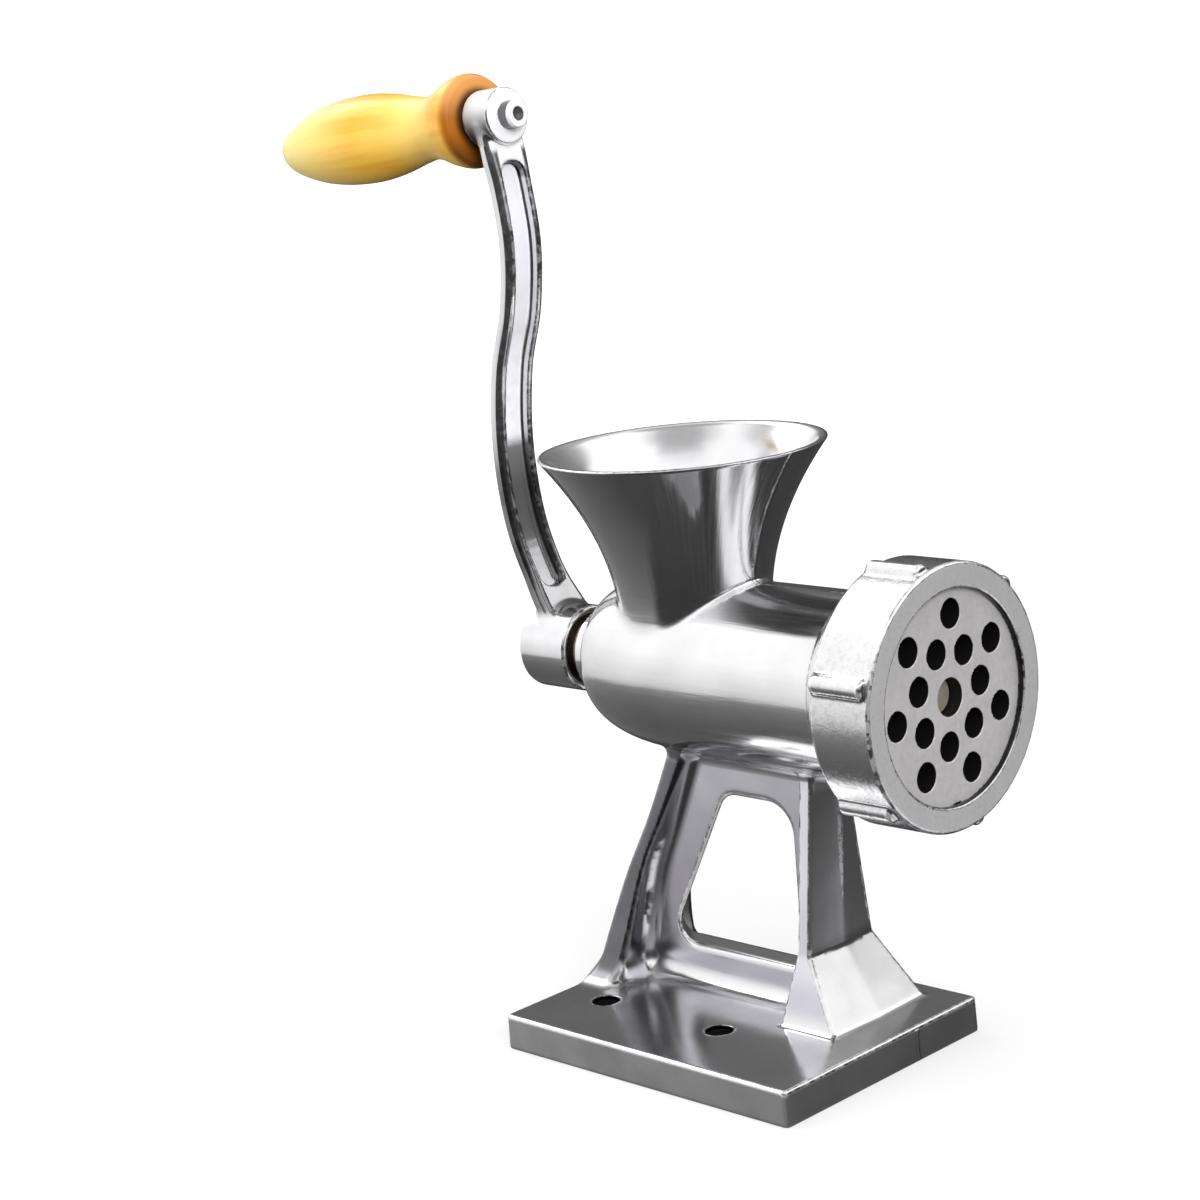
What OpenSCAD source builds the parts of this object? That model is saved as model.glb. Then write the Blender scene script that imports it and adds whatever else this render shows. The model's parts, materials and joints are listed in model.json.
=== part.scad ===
// Hand-cranked meat grinder on a bolt-down base.
// One aluminium casting carries the hopper, barrel, stand and base; the feed
// screw, knife and plate sit in the barrel behind a screwed ring, and a cast
// crank with a turned wooden grip drives the screw from the rear.
// Millimetres. Z up, X along the barrel to the mouth, origin on the underside
// of the base below the barrel axis.

/* [Base] */
// Length of the base along the barrel
base_l = 125; // [122:1:140]
// Width of the base across the barrel
base_w = 95.2; // [94:0.2:110]
// Thickness of the base
base_t = 12; // [10:0.5:14]
// Distance of the base centre from the plane of the stand
base_off = 16.2; // [15:0.1:17]
// Diameter of the bolt holes
hole_d = 9; // [7:0.5:10]
// Bolt spacing along the barrel
hole_dx = 52; // [48:1:54]
// Bolt spacing across the barrel
hole_dy = 54; // [50:1:56]

/* [Stand] */
// Height of the barrel axis above the underside of the base
axis_h = 123.5; // [120:0.5:130]
// Thickness of the stand's web
web_t = 11; // [8:0.5:13]
// Thickness of the front leg's flange
front_flange = 5.5; // [4:0.5:8]

/* [Barrel] */
// Outer diameter of the barrel
barrel_d = 59; // [57:0.2:60]
// Bore of the barrel
bore_d = 51; // [50:0.5:52]
// Diameter of the rear boss
rear_boss_d = 29; // [27:0.5:31]

/* [Hopper] */
// Diameter of the hopper's rim
rim_d = 96.4; // [90:0.2:104]
// Height of the rim above the underside of the base
rim_z = 197; // [190:0.5:204]
// Diameter of the hopper's neck
neck_d = 50.4; // [48:0.2:54]
// Wall of the hopper
hopper_wall = 3; // [2.5:0.1:4]

/* [Mouth] */
// Outer diameter of the ring nut
ring_d = 84.2; // [82:0.2:88]
// Width of the ring nut
ring_w = 23.2; // [22:0.2:25]
// Opening of the ring nut
ring_open_d = 67.4; // [64:0.2:68]
// Number of grip lugs on the ring nut
ring_lugs = 6; // [4:1:8]
// Number of holes in each ring of the grinding plate
plate_holes = 7; // [5:1:7]
// Diameter of the grinding plate's holes
plate_hole_d = 9.3; // [6:0.1:9.6]

/* [Feed screw] */
// Pitch of the feed screw's flight
flight_pitch = 32; // [26:1:40]
// Clearance of the flight in the bore
flight_gap = 0.6; // [0.5:0.1:1.2]

/* [Crank] */
// Width of the crank arm
arm_w = 17; // [14:0.5:18]
// Thickness of the crank arm
arm_t = 6.5; // [5.5:0.5:8]
// Depth of the channel in the crank arm
channel_deep = 3.2; // [2:0.1:3.5]
// Droop of the grip's axis
grip_droop = 4.5; // [0:0.1:6]

/* [Grip] */
// Length of the wooden grip
grip_l = 101; // [96:1:110]
// Diameter of the grip's flange
grip_flange_d = 32; // [30:0.2:36]

/* [Hidden] */
$fn = 96;
e = 0.01;
// mouth stations along X
ring_x1 = 88.1;
ring_x0 = ring_x1 - ring_w;
lip_t = 2.5;
plate_x1 = ring_x1 - lip_t;
plate_t = 8;
plate_x0 = plate_x1 - plate_t;
plate_r = 35;
seat_r = plate_r + 0.08;
head_r = 37.5;
thread_r = head_r + 0.1;
head_x0 = 59;
head_x1 = 82.4;
seat_x0 = 66.5;
knife_t = 6.6;
knife_x1 = plate_x0 - 0.1;
knife_x0 = knife_x1 - knife_t;
lug_phase = 43.5;
hole_phase = 83.7;
outer_pitch_r = 25.9;
inner_pitch_r = 15.4;
stud_r = 5.95;
stud_sq = 12.1;
key_r = 2;
// rear stations along X
boss_x0 = -65;
dome_x0 = -56.6;
dome_x1 = -20;
wall_x = -50;
shank_r = 8;
bush_r = 10.5;
hub_x0 = -91.6;
hub_x1 = -69.5;
hub_r = 15;
shank_sq = 11;
// hopper
hop_x = -18.9;
neck_z = 138;
// handle
boss_x = -92.8;
boss_z = 305.6;
boss_r = 9.6;
boss_half = 6.4;
spindle_r = 4;
grip_gap = 1.2;

function cr(a, b, c, d, t) = 0.5 * ((2 * b) + (c - a) * t + (2 * a - 5 * b + 4 * c - d) * t * t + (3 * b - a - 3 * c + d) * t * t * t);
function spline(p, n) = [for (i = [0 : len(p) - 2]) for (k = [0 : n - 1 + (i == len(p) - 2 ? 1 : 0)])
    cr(p[max(i - 1, 0)], p[i], p[i + 1], p[min(i + 2, len(p) - 1)], k / n)];
function unit(v) = v / norm(v);
function normal_at(q, i) = let (d = unit(q[min(i + 1, len(q) - 1)] - q[max(i - 1, 0)])) [d[1], -d[0]];
// a strip along a centre line between two offsets
function strip(q, a, b) = concat([for (i = [0 : len(q) - 1]) q[i] + a * normal_at(q, i)],
                                 [for (i = [len(q) - 1 : -1 : 0]) q[i] + b * normal_at(q, i)]);
// a polygon with rounded corners, p = [[x, y, r], ...], anticlockwise
function corner(p, i, n) = let (m = len(p), o = [p[i][0], p[i][1]],
    a = unit([p[(i + m - 1) % m][0], p[(i + m - 1) % m][1]] - o),
    b = unit([p[(i + 1) % m][0], p[(i + 1) % m][1]] - o),
    h = acos(a * b) / 2, c = o + unit(a + b) * p[i][2] / sin(h),
    s = atan2((o + a * p[i][2] / tan(h) - c)[1], (o + a * p[i][2] / tan(h) - c)[0]), w = 180 - 2 * h)
    [for (k = [0 : n]) c + p[i][2] * [cos(s + w * k / n), sin(s + w * k / n)]];
function rounded(p, n) = [for (i = [0 : len(p) - 1]) for (q = corner(p, i, n)) q];

// turned shapes about the barrel axis, profile points [x, r]
module turned(p) { translate([0, 0, axis_h]) rotate([0, 90, 0]) rotate_extrude() polygon([for (q = p) [q[1], q[0]]]); }
module rod(x0, x1, r) { translate([x0, 0, axis_h]) rotate([0, 90, 0]) cylinder(r = r, h = x1 - x0); }
module bar(x0, x1, w) { translate([x0, -w / 2, axis_h - w / 2]) cube([x1 - x0, w, w]); }
// side profile [x, z] spread across Y, and front profile [y, z] spread along X
module side(w, p) { rotate([90, 0, 0]) linear_extrude(height = w, center = true) polygon(p); }
module front(x0, x1, p) { translate([x0, 0, 0]) rotate([90, 0, 90]) linear_extrude(height = x1 - x0) polygon(p); }
function both(p) = concat([for (q = p) [q[0], q[1]]], [for (i = [len(p) - 1 : -1 : 0]) [-p[i][0], p[i][1]]]);
// handle frame: Z runs out along the grip from the middle of the crank's boss
module on_handle() { translate([boss_x, 0, boss_z]) rotate([0, -(90 + grip_droop), 0]) children(); }

function dome_r(x) = let (k = max(0, min(1, (dome_x1 - x) / (dome_x1 - dome_x0)))) 15.8 + (barrel_d / 2 - 15.8) * pow(1 - pow(k, 2.3), 1 / 2.3);
function hopper_r(z) = neck_d / 2 + (rim_d / 2 - neck_d / 2) * pow(max(0, z - neck_z) / (rim_z - neck_z), 2.05);

arm_line = spline([[-79.4, 131], [-89.6, 146], [-97.7, 166.7], [-100.3, 193], [-97, 219.5], [-89.8, 240.4], [-86.6, 262], [-88.4, 282], [-92.6, 303]], 5);
channel_line = spline([[-89.1, 145.2], [-94.2, 156.5], [-97.7, 166.7], [-100.3, 193], [-97, 219.5], [-89.8, 240.4], [-86.6, 262], [-88.2, 280], [-89.8, 289]], 6);

// the one casting: base, stand, barrel and hopper
module body_casting() color([0.78, 0.78, 0.80]) difference() {
    union() {
        // base
        translate([0, -base_off, 0]) linear_extrude(height = base_t) polygon(rounded([
            [-base_l / 2, -base_w / 2, 1.8], [base_l / 2, -base_w / 2, 1.8], [base_l / 2, base_w / 2, 1.8], [-base_l / 2, base_w / 2, 1.8]], 5));
        // web with its window
        difference() {
            side(web_t, [[-57, base_t - 1], [32, base_t - 1], [32, axis_h - 26], [-28, axis_h - 26], [-50, 49.4]]);
            side(web_t + 2, rounded([[-33, 25, 3], [18.2, 25, 4], [19.2, 80.6, 10], [-3, 80.6, 3]], 6));
            // its rear side is drawn back at an angle
            rotate([90, 0, 45]) linear_extrude(height = 60, center = true) polygon([for (q = rounded([[-38.1, 25, 7], [5, 25, 1], [5, 80.6, 1], [-7.5, 80.6, 8]], 6)) [(q[0] - web_t / 2) * cos(45), q[1]]]);
        }
        // front leg and its flared foot
        intersection() {
            side(60, [[32.7 - front_flange, axis_h - 20], [32.7 - front_flange, 36], [24, base_t - 1], [47.6, base_t - 1], [47.2, base_t], [32.7, 34.3], [32.7, axis_h - 20]]);
            front(10, 60, [[-23, base_t - 1], [-22.7, base_t], [-15.3, 34.3], [-7.6, axis_h - 20], [9.4, axis_h - 20], [16.8, 34.3], [23.7, base_t], [24, base_t - 1]]);
        }
        // ridge down the middle of the front leg
        polyhedron(points = [[31, -15, 34], [31, 16.4, 34], [33.4, 0.5, 34], [31, -8.2, axis_h - 32], [31, 10.4, axis_h - 32], [36.4, 1.5, axis_h - 32]],
            faces = [[0, 2, 1], [3, 4, 5], [0, 3, 5], [0, 5, 2], [2, 5, 4], [2, 4, 1], [0, 1, 4], [0, 4, 3]]);
        // rear leg
        intersection() {
            side(60, [[-62, base_t - 1], [-51.5, base_t - 1], [-50.5, 20], [-43, 49.4], [-32.5, 71], [-19, axis_h - 24], [-27.6, axis_h - 24], [-40, 71], [-51.8, 49.4], [-60, 28], [-62.2, 15]]);
            front(-70, 0, both([[23.5, base_t - 1], [20.5, 15], [16.5, 28], [13, 49.4], [11, 71], [8.5, axis_h - 24]]));
        }
        // barrel with the domed rear end, rear boss and threaded head
        turned(concat([[boss_x0, 0], [boss_x0, rear_boss_d / 2 - 1], [boss_x0 + 1, rear_boss_d / 2], [dome_x0, rear_boss_d / 2]],
            [for (i = [0 : 12]) let (x = dome_x0 + (dome_x1 - dome_x0) * pow(i / 12, 1.8)) [x, dome_r(x)]],
            [[head_x0 - 6, barrel_d / 2], [head_x0 + 2, head_r], [head_x1 - 1, head_r], [head_x1, head_r - 1], [head_x1, 0]]));
        // hopper
        translate([hop_x, 0, 0]) rotate_extrude() polygon(concat([[0, axis_h]], [[neck_d / 2, axis_h]],
            [for (i = [0 : 14]) let (z = neck_z + (rim_z - neck_z) * pow(i / 14, 0.8)) [hopper_r(z), z]], [[0, rim_z]]));
    }
    // inside of the barrel
    turned([[boss_x0 - 1, 0], [boss_x0 - 1, bush_r], [wall_x, bush_r], [wall_x, 17], [-34, bore_d / 2], [seat_x0, bore_d / 2],
        [seat_x0, seat_r], [head_x1 + 1, seat_r], [head_x1 + 1, 0]]);
    // inside of the hopper
    translate([hop_x, 0, 0]) rotate_extrude() polygon(concat([[0, axis_h]], [[neck_d / 2 - hopper_wall, axis_h]],
        [for (i = [0 : 14]) let (z = neck_z + (rim_z - neck_z) * pow(i / 14, 0.8)) [hopper_r(z) - hopper_wall + 0.4 * i / 14, z]],
        [[rim_d / 2 - hopper_wall + 0.6, rim_z + 1], [0, rim_z + 1]]));
    // bolt holes
    for (sx = [-1, 1], sy = [-1, 1]) translate([-16.3 + sx * hole_dx / 2, -9 + sy * hole_dy / 2, 0]) {
        translate([0, 0, -1]) cylinder(d = hole_d, h = base_t + 2);
        translate([0, 0, base_t - 0.8]) cylinder(d1 = hole_d, d2 = hole_d + 2, h = 1);
    }
    // hole for the plate's key
    translate([79, 0, axis_h - head_r - 1]) cylinder(r = key_r, h = head_r - plate_r + 3);
}

// bearing bush pressed into the rear boss
module rear_bush() color([0.72, 0.58, 0.36]) turned([[boss_x0 - 2.4, shank_r + 0.05], [boss_x0 - 2.4, 12], [boss_x0 - 1.9, 12.5], [boss_x0, 12.5], [boss_x0, bush_r],
    [wall_x, bush_r], [wall_x, shank_r + 0.05]]);

// fibre washer against the rear wall
module fibre_washer() color([0.48, 0.27, 0.16]) turned([[wall_x + 0.05, shank_r + 0.4], [wall_x + 0.05, 16], [wall_x + 1.75, 16], [wall_x + 1.75, shank_r + 0.4]]);

// steel thrust washer behind the feed screw
module thrust_washer() color([0.62, 0.62, 0.64]) turned([[wall_x + 1.9, shank_r], [wall_x + 1.9, 15.5], [wall_x + 3.4, 15.5], [wall_x + 3.4, shank_r]]);

// feed screw: one flight on a round core between two collars
module feed_screw() color([0.74, 0.74, 0.76]) difference() {
    union() {
        turned([[wall_x + 3.4, 0], [wall_x + 3.4, 14], [wall_x + 4, 14.6], [-31, 14.6], [-31, 0]]);
        translate([-31.6, 0, axis_h]) rotate([0, 90, 0]) linear_extrude(height = 93.2, twist = -360 * 93.2 / flight_pitch, slices = 80, segments = 32, convexity = 8)
            let (ro = bore_d / 2 - flight_gap) polygon(concat(
                [for (q = [[13, -36], [18, -29], [ro, -22], [ro, -11], [ro, 0], [ro, 11], [ro, 22], [18, 29], [13, 36]]) q[0] * [cos(q[1]), sin(q[1])]],
                [for (a = [48 : 12 : 312]) 13 * [cos(a), sin(a)]]));
        turned([[61, 0], [61, 14.6], [knife_x0 - 1, 14.6], [knife_x0 - 0.2, 13.8], [knife_x0 - 0.2, 0]]);
    }
    rod(wall_x, -20, shank_r);
    rod(knife_x0 - 16, knife_x0 + 1, 5);
    translate([-39, 0, axis_h - 30]) cylinder(r = 2, h = 60);
}

// steel shank that runs in the bush and carries the crank on its square
module drive_shank() color([0.55, 0.53, 0.50]) difference() {
    union() {
        rod(hub_x1 + 0.4, -20, shank_r);
        bar(hub_x0 + 0.6, hub_x1 + 0.5, shank_sq);
    }
    rod(hub_x0 - 1, hub_x1 + 4, 3);
    translate([-39, 0, axis_h - 30]) cylinder(r = 2, h = 60);
}

// cross pin that holds the shank in the feed screw
module shank_pin() color([0.50, 0.50, 0.52]) translate([-39, 0, axis_h - 14]) cylinder(r = 2, h = 28);

// front stud: a square for the knife and a pilot for the plate
module knife_stud() color([0.56, 0.53, 0.49]) union() {
    rod(knife_x0 - 16, knife_x0 - 0.2, 5);
    intersection() { bar(knife_x0 - 0.2, knife_x1 - 0.3, stud_sq); rod(knife_x0 - 1, knife_x1, 7.9); }
    turned([[knife_x1 - 0.4, 0], [knife_x1 - 0.4, stud_r], [plate_x1 - 5.4, stud_r], [plate_x1 - 4.8, stud_r - 0.6], [plate_x1 - 4.8, 0]]);
}

// four-bladed knife
module cutter_knife() color([0.66, 0.66, 0.68]) difference() {
    union() {
        rod(knife_x0, knife_x1, 12);
        for (k = [0 : 3]) translate([0, 0, axis_h]) rotate([k * 90 + 20, 0, 0])
            front(knife_x0 + 0.8, knife_x1, [[-5, 6], [5.5, 6], [4.5, 32.2], [-2.5, 31.5]]);
    }
    bar(knife_x0 - 1, knife_x1 + 1, stud_sq + 0.1);
}

// grinding plate
module grinding_plate() color([0.58, 0.58, 0.59]) difference() {
    turned([[plate_x0, 0], [plate_x0, plate_r - 0.4], [plate_x0 + 0.4, plate_r], [plate_x1 - 0.4, plate_r], [plate_x1, plate_r - 0.4], [plate_x1, 0]]);
    rod(plate_x0 - 1, plate_x1 + 1, stud_r + 0.05);
    for (k = [0 : plate_holes - 1], q = [[0, outer_pitch_r], [0.5, inner_pitch_r]])
        let (a = hole_phase + 360 / plate_holes * (k + q[0])) translate([plate_x0 - 1, q[1] * cos(a), axis_h + q[1] * sin(a)])
            rotate([0, 90, 0]) cylinder(d = plate_hole_d, h = plate_t + 2, $fn = 48);
    translate([plate_x0 - 1, -key_r - 0.2, axis_h - plate_r - 1]) cube([plate_t + 2, 2 * key_r + 0.4, 2.25]);
}

// locating key for the plate
module plate_key() color([0.50, 0.50, 0.52]) translate([79, 0, axis_h - head_r + 0.2]) cylinder(r = key_r, h = head_r - plate_r + 0.9);

// ring nut with grip lugs
module ring_nut() color([0.80, 0.80, 0.81]) difference() {
    union() {
        turned([[ring_x0, thread_r], [ring_x0, ring_d / 2 - 0.8], [ring_x0 + 0.8, ring_d / 2], [ring_x1 - 1, ring_d / 2], [ring_x1, ring_d / 2 - 1],
            [ring_x1, ring_open_d / 2 + 0.6], [ring_x1 - 0.6, ring_open_d / 2], [plate_x1 + 0.1, ring_open_d / 2], [plate_x1 + 0.1, thread_r]]);
        for (k = [0 : ring_lugs - 1]) translate([0, 0, axis_h]) rotate([lug_phase + 360 / ring_lugs * k, 0, 0])
            translate([ring_x0 + 1, ring_d / 2 - 0.6, 0]) rotate([0, 90, 0]) cylinder(r = 3.1, h = ring_w - 4, $fn = 32);
    }
    rod(ring_x0 - 1, plate_x1 + 0.1, thread_r);
}

// cast crank: hub with a square eye, channelled arm and top boss
module crank_arm() color([0.77, 0.77, 0.79]) difference() {
    union() {
        turned([[hub_x0, 0], [hub_x0, hub_r - 1], [hub_x0 + 1, hub_r], [hub_x1 - 1, hub_r], [hub_x1, hub_r - 1], [hub_x1, 0]]);
        side(arm_w, strip(arm_line, -arm_t / 2, arm_t / 2));
        on_handle() translate([0, 0, -boss_half]) cylinder(r = boss_r, h = 2 * boss_half);
    }
    side(arm_w - 6, strip(channel_line, arm_t / 2 - channel_deep, arm_t / 2 + 3));
    bar(hub_x0 - 1, hub_x1 + 1, shank_sq + 0.1);
    on_handle() translate([0, 0, -boss_half - 1]) cylinder(r = spindle_r, h = 2 * boss_half + 2);
}

// washer under the crank's screw
module crank_washer() color([0.63, 0.63, 0.65]) turned([[hub_x0 - 1.6, 3.1], [hub_x0 - 1.6, 10.5], [hub_x0, 10.5], [hub_x0, 3.1]]);

// slotted screw that clamps the crank on the shank
module crank_screw() color([0.64, 0.64, 0.66]) difference() {
    union() {
        rod(hub_x0 - 3, hub_x1 + 3, 3);
        turned([[hub_x0 - 1.6, 0], [hub_x0 - 1.6, 6.8], [hub_x0 - 5.2, 6.8], [hub_x0 - 6, 6], [hub_x0 - 6, 0]]);
    }
    translate([hub_x0 - 6.1, -8, axis_h - 0.8]) cube([2, 16, 1.6]);
}

// turned wooden grip
module grip_profile() {
    k = grip_l / 101;
    f = grip_flange_d / 2;
    p = spline([[f - 1.3, 0], [f, 2.8], [f - 0.2, 6], [f - 1.6, 11], [12, 17.5], [10.9, 24.5 * k], [12, 32.6 * k], [13.9, 42.1 * k], [15.2, 51.7 * k], [15.5, 60.2 * k],
        [15, 70.7 * k], [13.5, 81.2 * k], [11, 90.7 * k], [8.6, 97.3 * k], [6.6, 101 * k]], 4);
    polygon(concat([[0, 0]], p, [[0, grip_l]]));
}
module handle_grip() color([0.90, 0.70, 0.27]) on_handle() translate([0, 0, boss_half + grip_gap]) difference() {
    rotate_extrude() grip_profile();
    translate([0, 0, -1]) cylinder(r = spindle_r + 0.08, h = grip_l + 2);
    translate([0, 0, grip_l - 9]) cylinder(r = 5.7, h = 10);
}

// spindle through the grip, peened over on the crank's inner face
module handle_spindle() color([0.62, 0.62, 0.64]) on_handle() difference() {
    union() {
        translate([0, 0, -boss_half]) cylinder(r = spindle_r, h = boss_half * 2 + grip_gap + grip_l - 9 + 1.4);
        translate([0, 0, -boss_half - 4.6]) cylinder(r = 4.4, h = 4.6);
        translate([0, 0, boss_half + grip_gap + grip_l - 9 + 1.3]) cylinder(r = 5, h = 3.4);
    }
    translate([0, 0, -boss_half - 4.7]) cylinder(r1 = 1.8, r2 = 0.2, h = 1.4, $fn = 32);
    translate([-0.6, -6, boss_half + grip_gap + grip_l - 9 + 3.3]) cube([1.2, 12, 2]);
}

// washer between the crank's boss and the grip
module handle_thrust_washer() color([0.60, 0.60, 0.62]) on_handle() translate([0, 0, boss_half]) difference() {
    cylinder(r = 8.4, h = 1.05);
    translate([0, 0, -1]) cylinder(r = spindle_r, h = 4);
}

// washer under the spindle's head, in the end of the grip
module handle_end_washer() color([0.60, 0.60, 0.62]) on_handle() translate([0, 0, boss_half + grip_gap + grip_l - 9 + 0.2]) difference() {
    cylinder(r = 5.3, h = 1.1);
    translate([0, 0, -1]) cylinder(r = spindle_r, h = 4);
}

body_casting();
rear_bush();
fibre_washer();
thrust_washer();
feed_screw();
drive_shank();
shank_pin();
knife_stud();
cutter_knife();
grinding_plate();
plate_key();
ring_nut();
crank_arm();
crank_washer();
crank_screw();
handle_grip();
handle_spindle();
handle_thrust_washer();
handle_end_washer();
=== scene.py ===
"""Looks of a hand-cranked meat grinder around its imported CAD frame.

The castings are meshed from distance fields so that every fillet and rounded edge is real,
and all finishes are procedural. Shapes below are in millimetres, objects in metres.
"""
import json
import math
import bpy
import numpy as np
from mathutils import Matrix, Vector

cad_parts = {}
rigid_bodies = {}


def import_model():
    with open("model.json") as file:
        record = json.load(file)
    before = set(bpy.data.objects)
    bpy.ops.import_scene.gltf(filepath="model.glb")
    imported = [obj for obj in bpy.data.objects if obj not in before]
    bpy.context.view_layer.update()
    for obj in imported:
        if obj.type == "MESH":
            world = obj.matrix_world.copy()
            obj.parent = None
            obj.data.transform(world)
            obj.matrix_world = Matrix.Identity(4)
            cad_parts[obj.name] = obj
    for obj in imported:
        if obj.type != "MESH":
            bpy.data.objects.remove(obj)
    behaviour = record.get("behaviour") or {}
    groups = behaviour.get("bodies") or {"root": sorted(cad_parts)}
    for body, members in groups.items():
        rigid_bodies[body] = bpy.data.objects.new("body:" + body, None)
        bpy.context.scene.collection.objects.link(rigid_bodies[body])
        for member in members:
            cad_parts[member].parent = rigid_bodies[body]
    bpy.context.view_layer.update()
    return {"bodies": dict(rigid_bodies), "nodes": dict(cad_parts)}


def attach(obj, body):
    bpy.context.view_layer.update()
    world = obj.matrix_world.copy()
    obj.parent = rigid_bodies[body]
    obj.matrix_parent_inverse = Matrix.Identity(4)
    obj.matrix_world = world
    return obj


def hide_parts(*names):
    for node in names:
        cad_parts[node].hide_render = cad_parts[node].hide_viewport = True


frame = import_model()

# ---------------------------------------------------------------- distance helpers (millimetres)
AXIS = 123.5


def fillet(a, b, r):
    """union of two distances with a round fillet"""
    return np.maximum(np.minimum(a, b), r) - np.hypot(np.maximum(r - a, 0), np.maximum(r - b, 0))


def inter(a, b, r):
    """intersection of two distances with a rounded edge"""
    return np.minimum(np.maximum(a, b), -r) + np.hypot(np.maximum(r + a, 0), np.maximum(r + b, 0))


def cut(a, b, r):
    return inter(a, -b, r)


def polygon(u, v, P):
    """signed distance to a closed polygon, negative inside"""
    P = np.asarray(P, float)
    best, flip = None, None
    for i in range(len(P)):
        (au, av), (bu, bv) = P[i], P[i - 1]
        eu, ev = bu - au, bv - av
        wu, wv = u - au, v - av
        t = np.clip((wu * eu + wv * ev) / (eu * eu + ev * ev), 0, 1)
        d = (wu - eu * t) ** 2 + (wv - ev * t) ** 2
        c1, c2, c3 = v >= av, v < bv, eu * wv > ev * wu
        f = (c1 & c2 & c3) | (~c1 & ~c2 & ~c3)
        best = d if best is None else np.minimum(best, d)
        flip = f if flip is None else flip ^ f
    return np.where(flip, -1.0, 1.0) * np.sqrt(best)


def rounded(P, n):
    """corner points [u, v, radius] turned into an outline with arcs"""
    out = []
    m = len(P)
    for i in range(m):
        o = np.array(P[i][:2], float)
        a = np.array(P[i - 1][:2], float) - o
        b = np.array(P[(i + 1) % m][:2], float) - o
        a, b, r = a / np.linalg.norm(a), b / np.linalg.norm(b), P[i][2]
        h = math.acos(float(a @ b)) / 2
        c = o + (a + b) / np.linalg.norm(a + b) * r / math.sin(h)
        p0, p1 = o + a * r / math.tan(h) - c, o + b * r / math.tan(h) - c
        s, e = math.atan2(p0[1], p0[0]), math.atan2(p1[1], p1[0])
        w = (e - s + math.pi) % (2 * math.pi) - math.pi
        out += [c + r * np.array([math.cos(s + w * k / n), math.sin(s + w * k / n)]) for k in range(n + 1)]
    return np.array(out)


def spline(P, n):
    """Catmull-Rom points through P"""
    P = np.asarray(P, float)
    out = []
    for i in range(len(P) - 1):
        a, b, c, d = P[max(i - 1, 0)], P[i], P[i + 1], P[min(i + 2, len(P) - 1)]
        for k in range(n + (1 if i == len(P) - 2 else 0)):
            t = k / n
            out.append(0.5 * (2 * b + (c - a) * t + (2 * a - 5 * b + 4 * c - d) * t * t + (3 * b - a - 3 * c + d) * t ** 3))
    return np.array(out)


def line_field(u, v, Q):
    """distance to an open line of points, the side (+ to the right of travel) and the place along it"""
    best = side = along = None
    s = 0.0
    for i in range(len(Q) - 1):
        a, e = Q[i], Q[i + 1] - Q[i]
        L = float(np.hypot(*e))
        wu, wv = u - a[0], v - a[1]
        t = np.clip((wu * e[0] + wv * e[1]) / (L * L), 0, 1)
        d = (wu - e[0] * t) ** 2 + (wv - e[1] * t) ** 2
        c = np.where(wu * e[1] - wv * e[0] > 0, 1.0, -1.0)
        st = s + t * L
        if best is None:
            best, side, along = d, c + 0 * d, st + 0 * d
        else:
            m = d < best
            best, side, along = np.where(m, d, best), np.where(m, c, side), np.where(m, st, along)
        s += L
    return np.sqrt(best), side, along, s


def smooth(a, b, x):
    t = np.clip((x - a) / (b - a), 0, 1)
    return t * t * (3 - 2 * t)


# ---------------------------------------------------------------- mesh from a distance
def axis_points(lo, hi, step, fine=()):
    """grid stations with a smaller step inside the fine bands"""
    out, p = [], lo
    while p < hi + step:
        out.append(p)
        s = step
        for a, b, f in fine:
            if a - 1e-9 <= p < b:
                s = min(s, f)
            elif p < a < p + s:
                s = min(s, max(a - p, f))
        p += s
    return np.array(out)


def gradient(f, p, e=0.02):
    g = np.empty_like(p)
    for k in range(3):
        o = np.zeros(3)
        o[k] = e
        a, b = p + o, p - o
        g[:, k] = (f(a[:, 0], a[:, 1], a[:, 2]) - f(b[:, 0], b[:, 1], b[:, 2])) / (2 * e)
    return g


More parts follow.
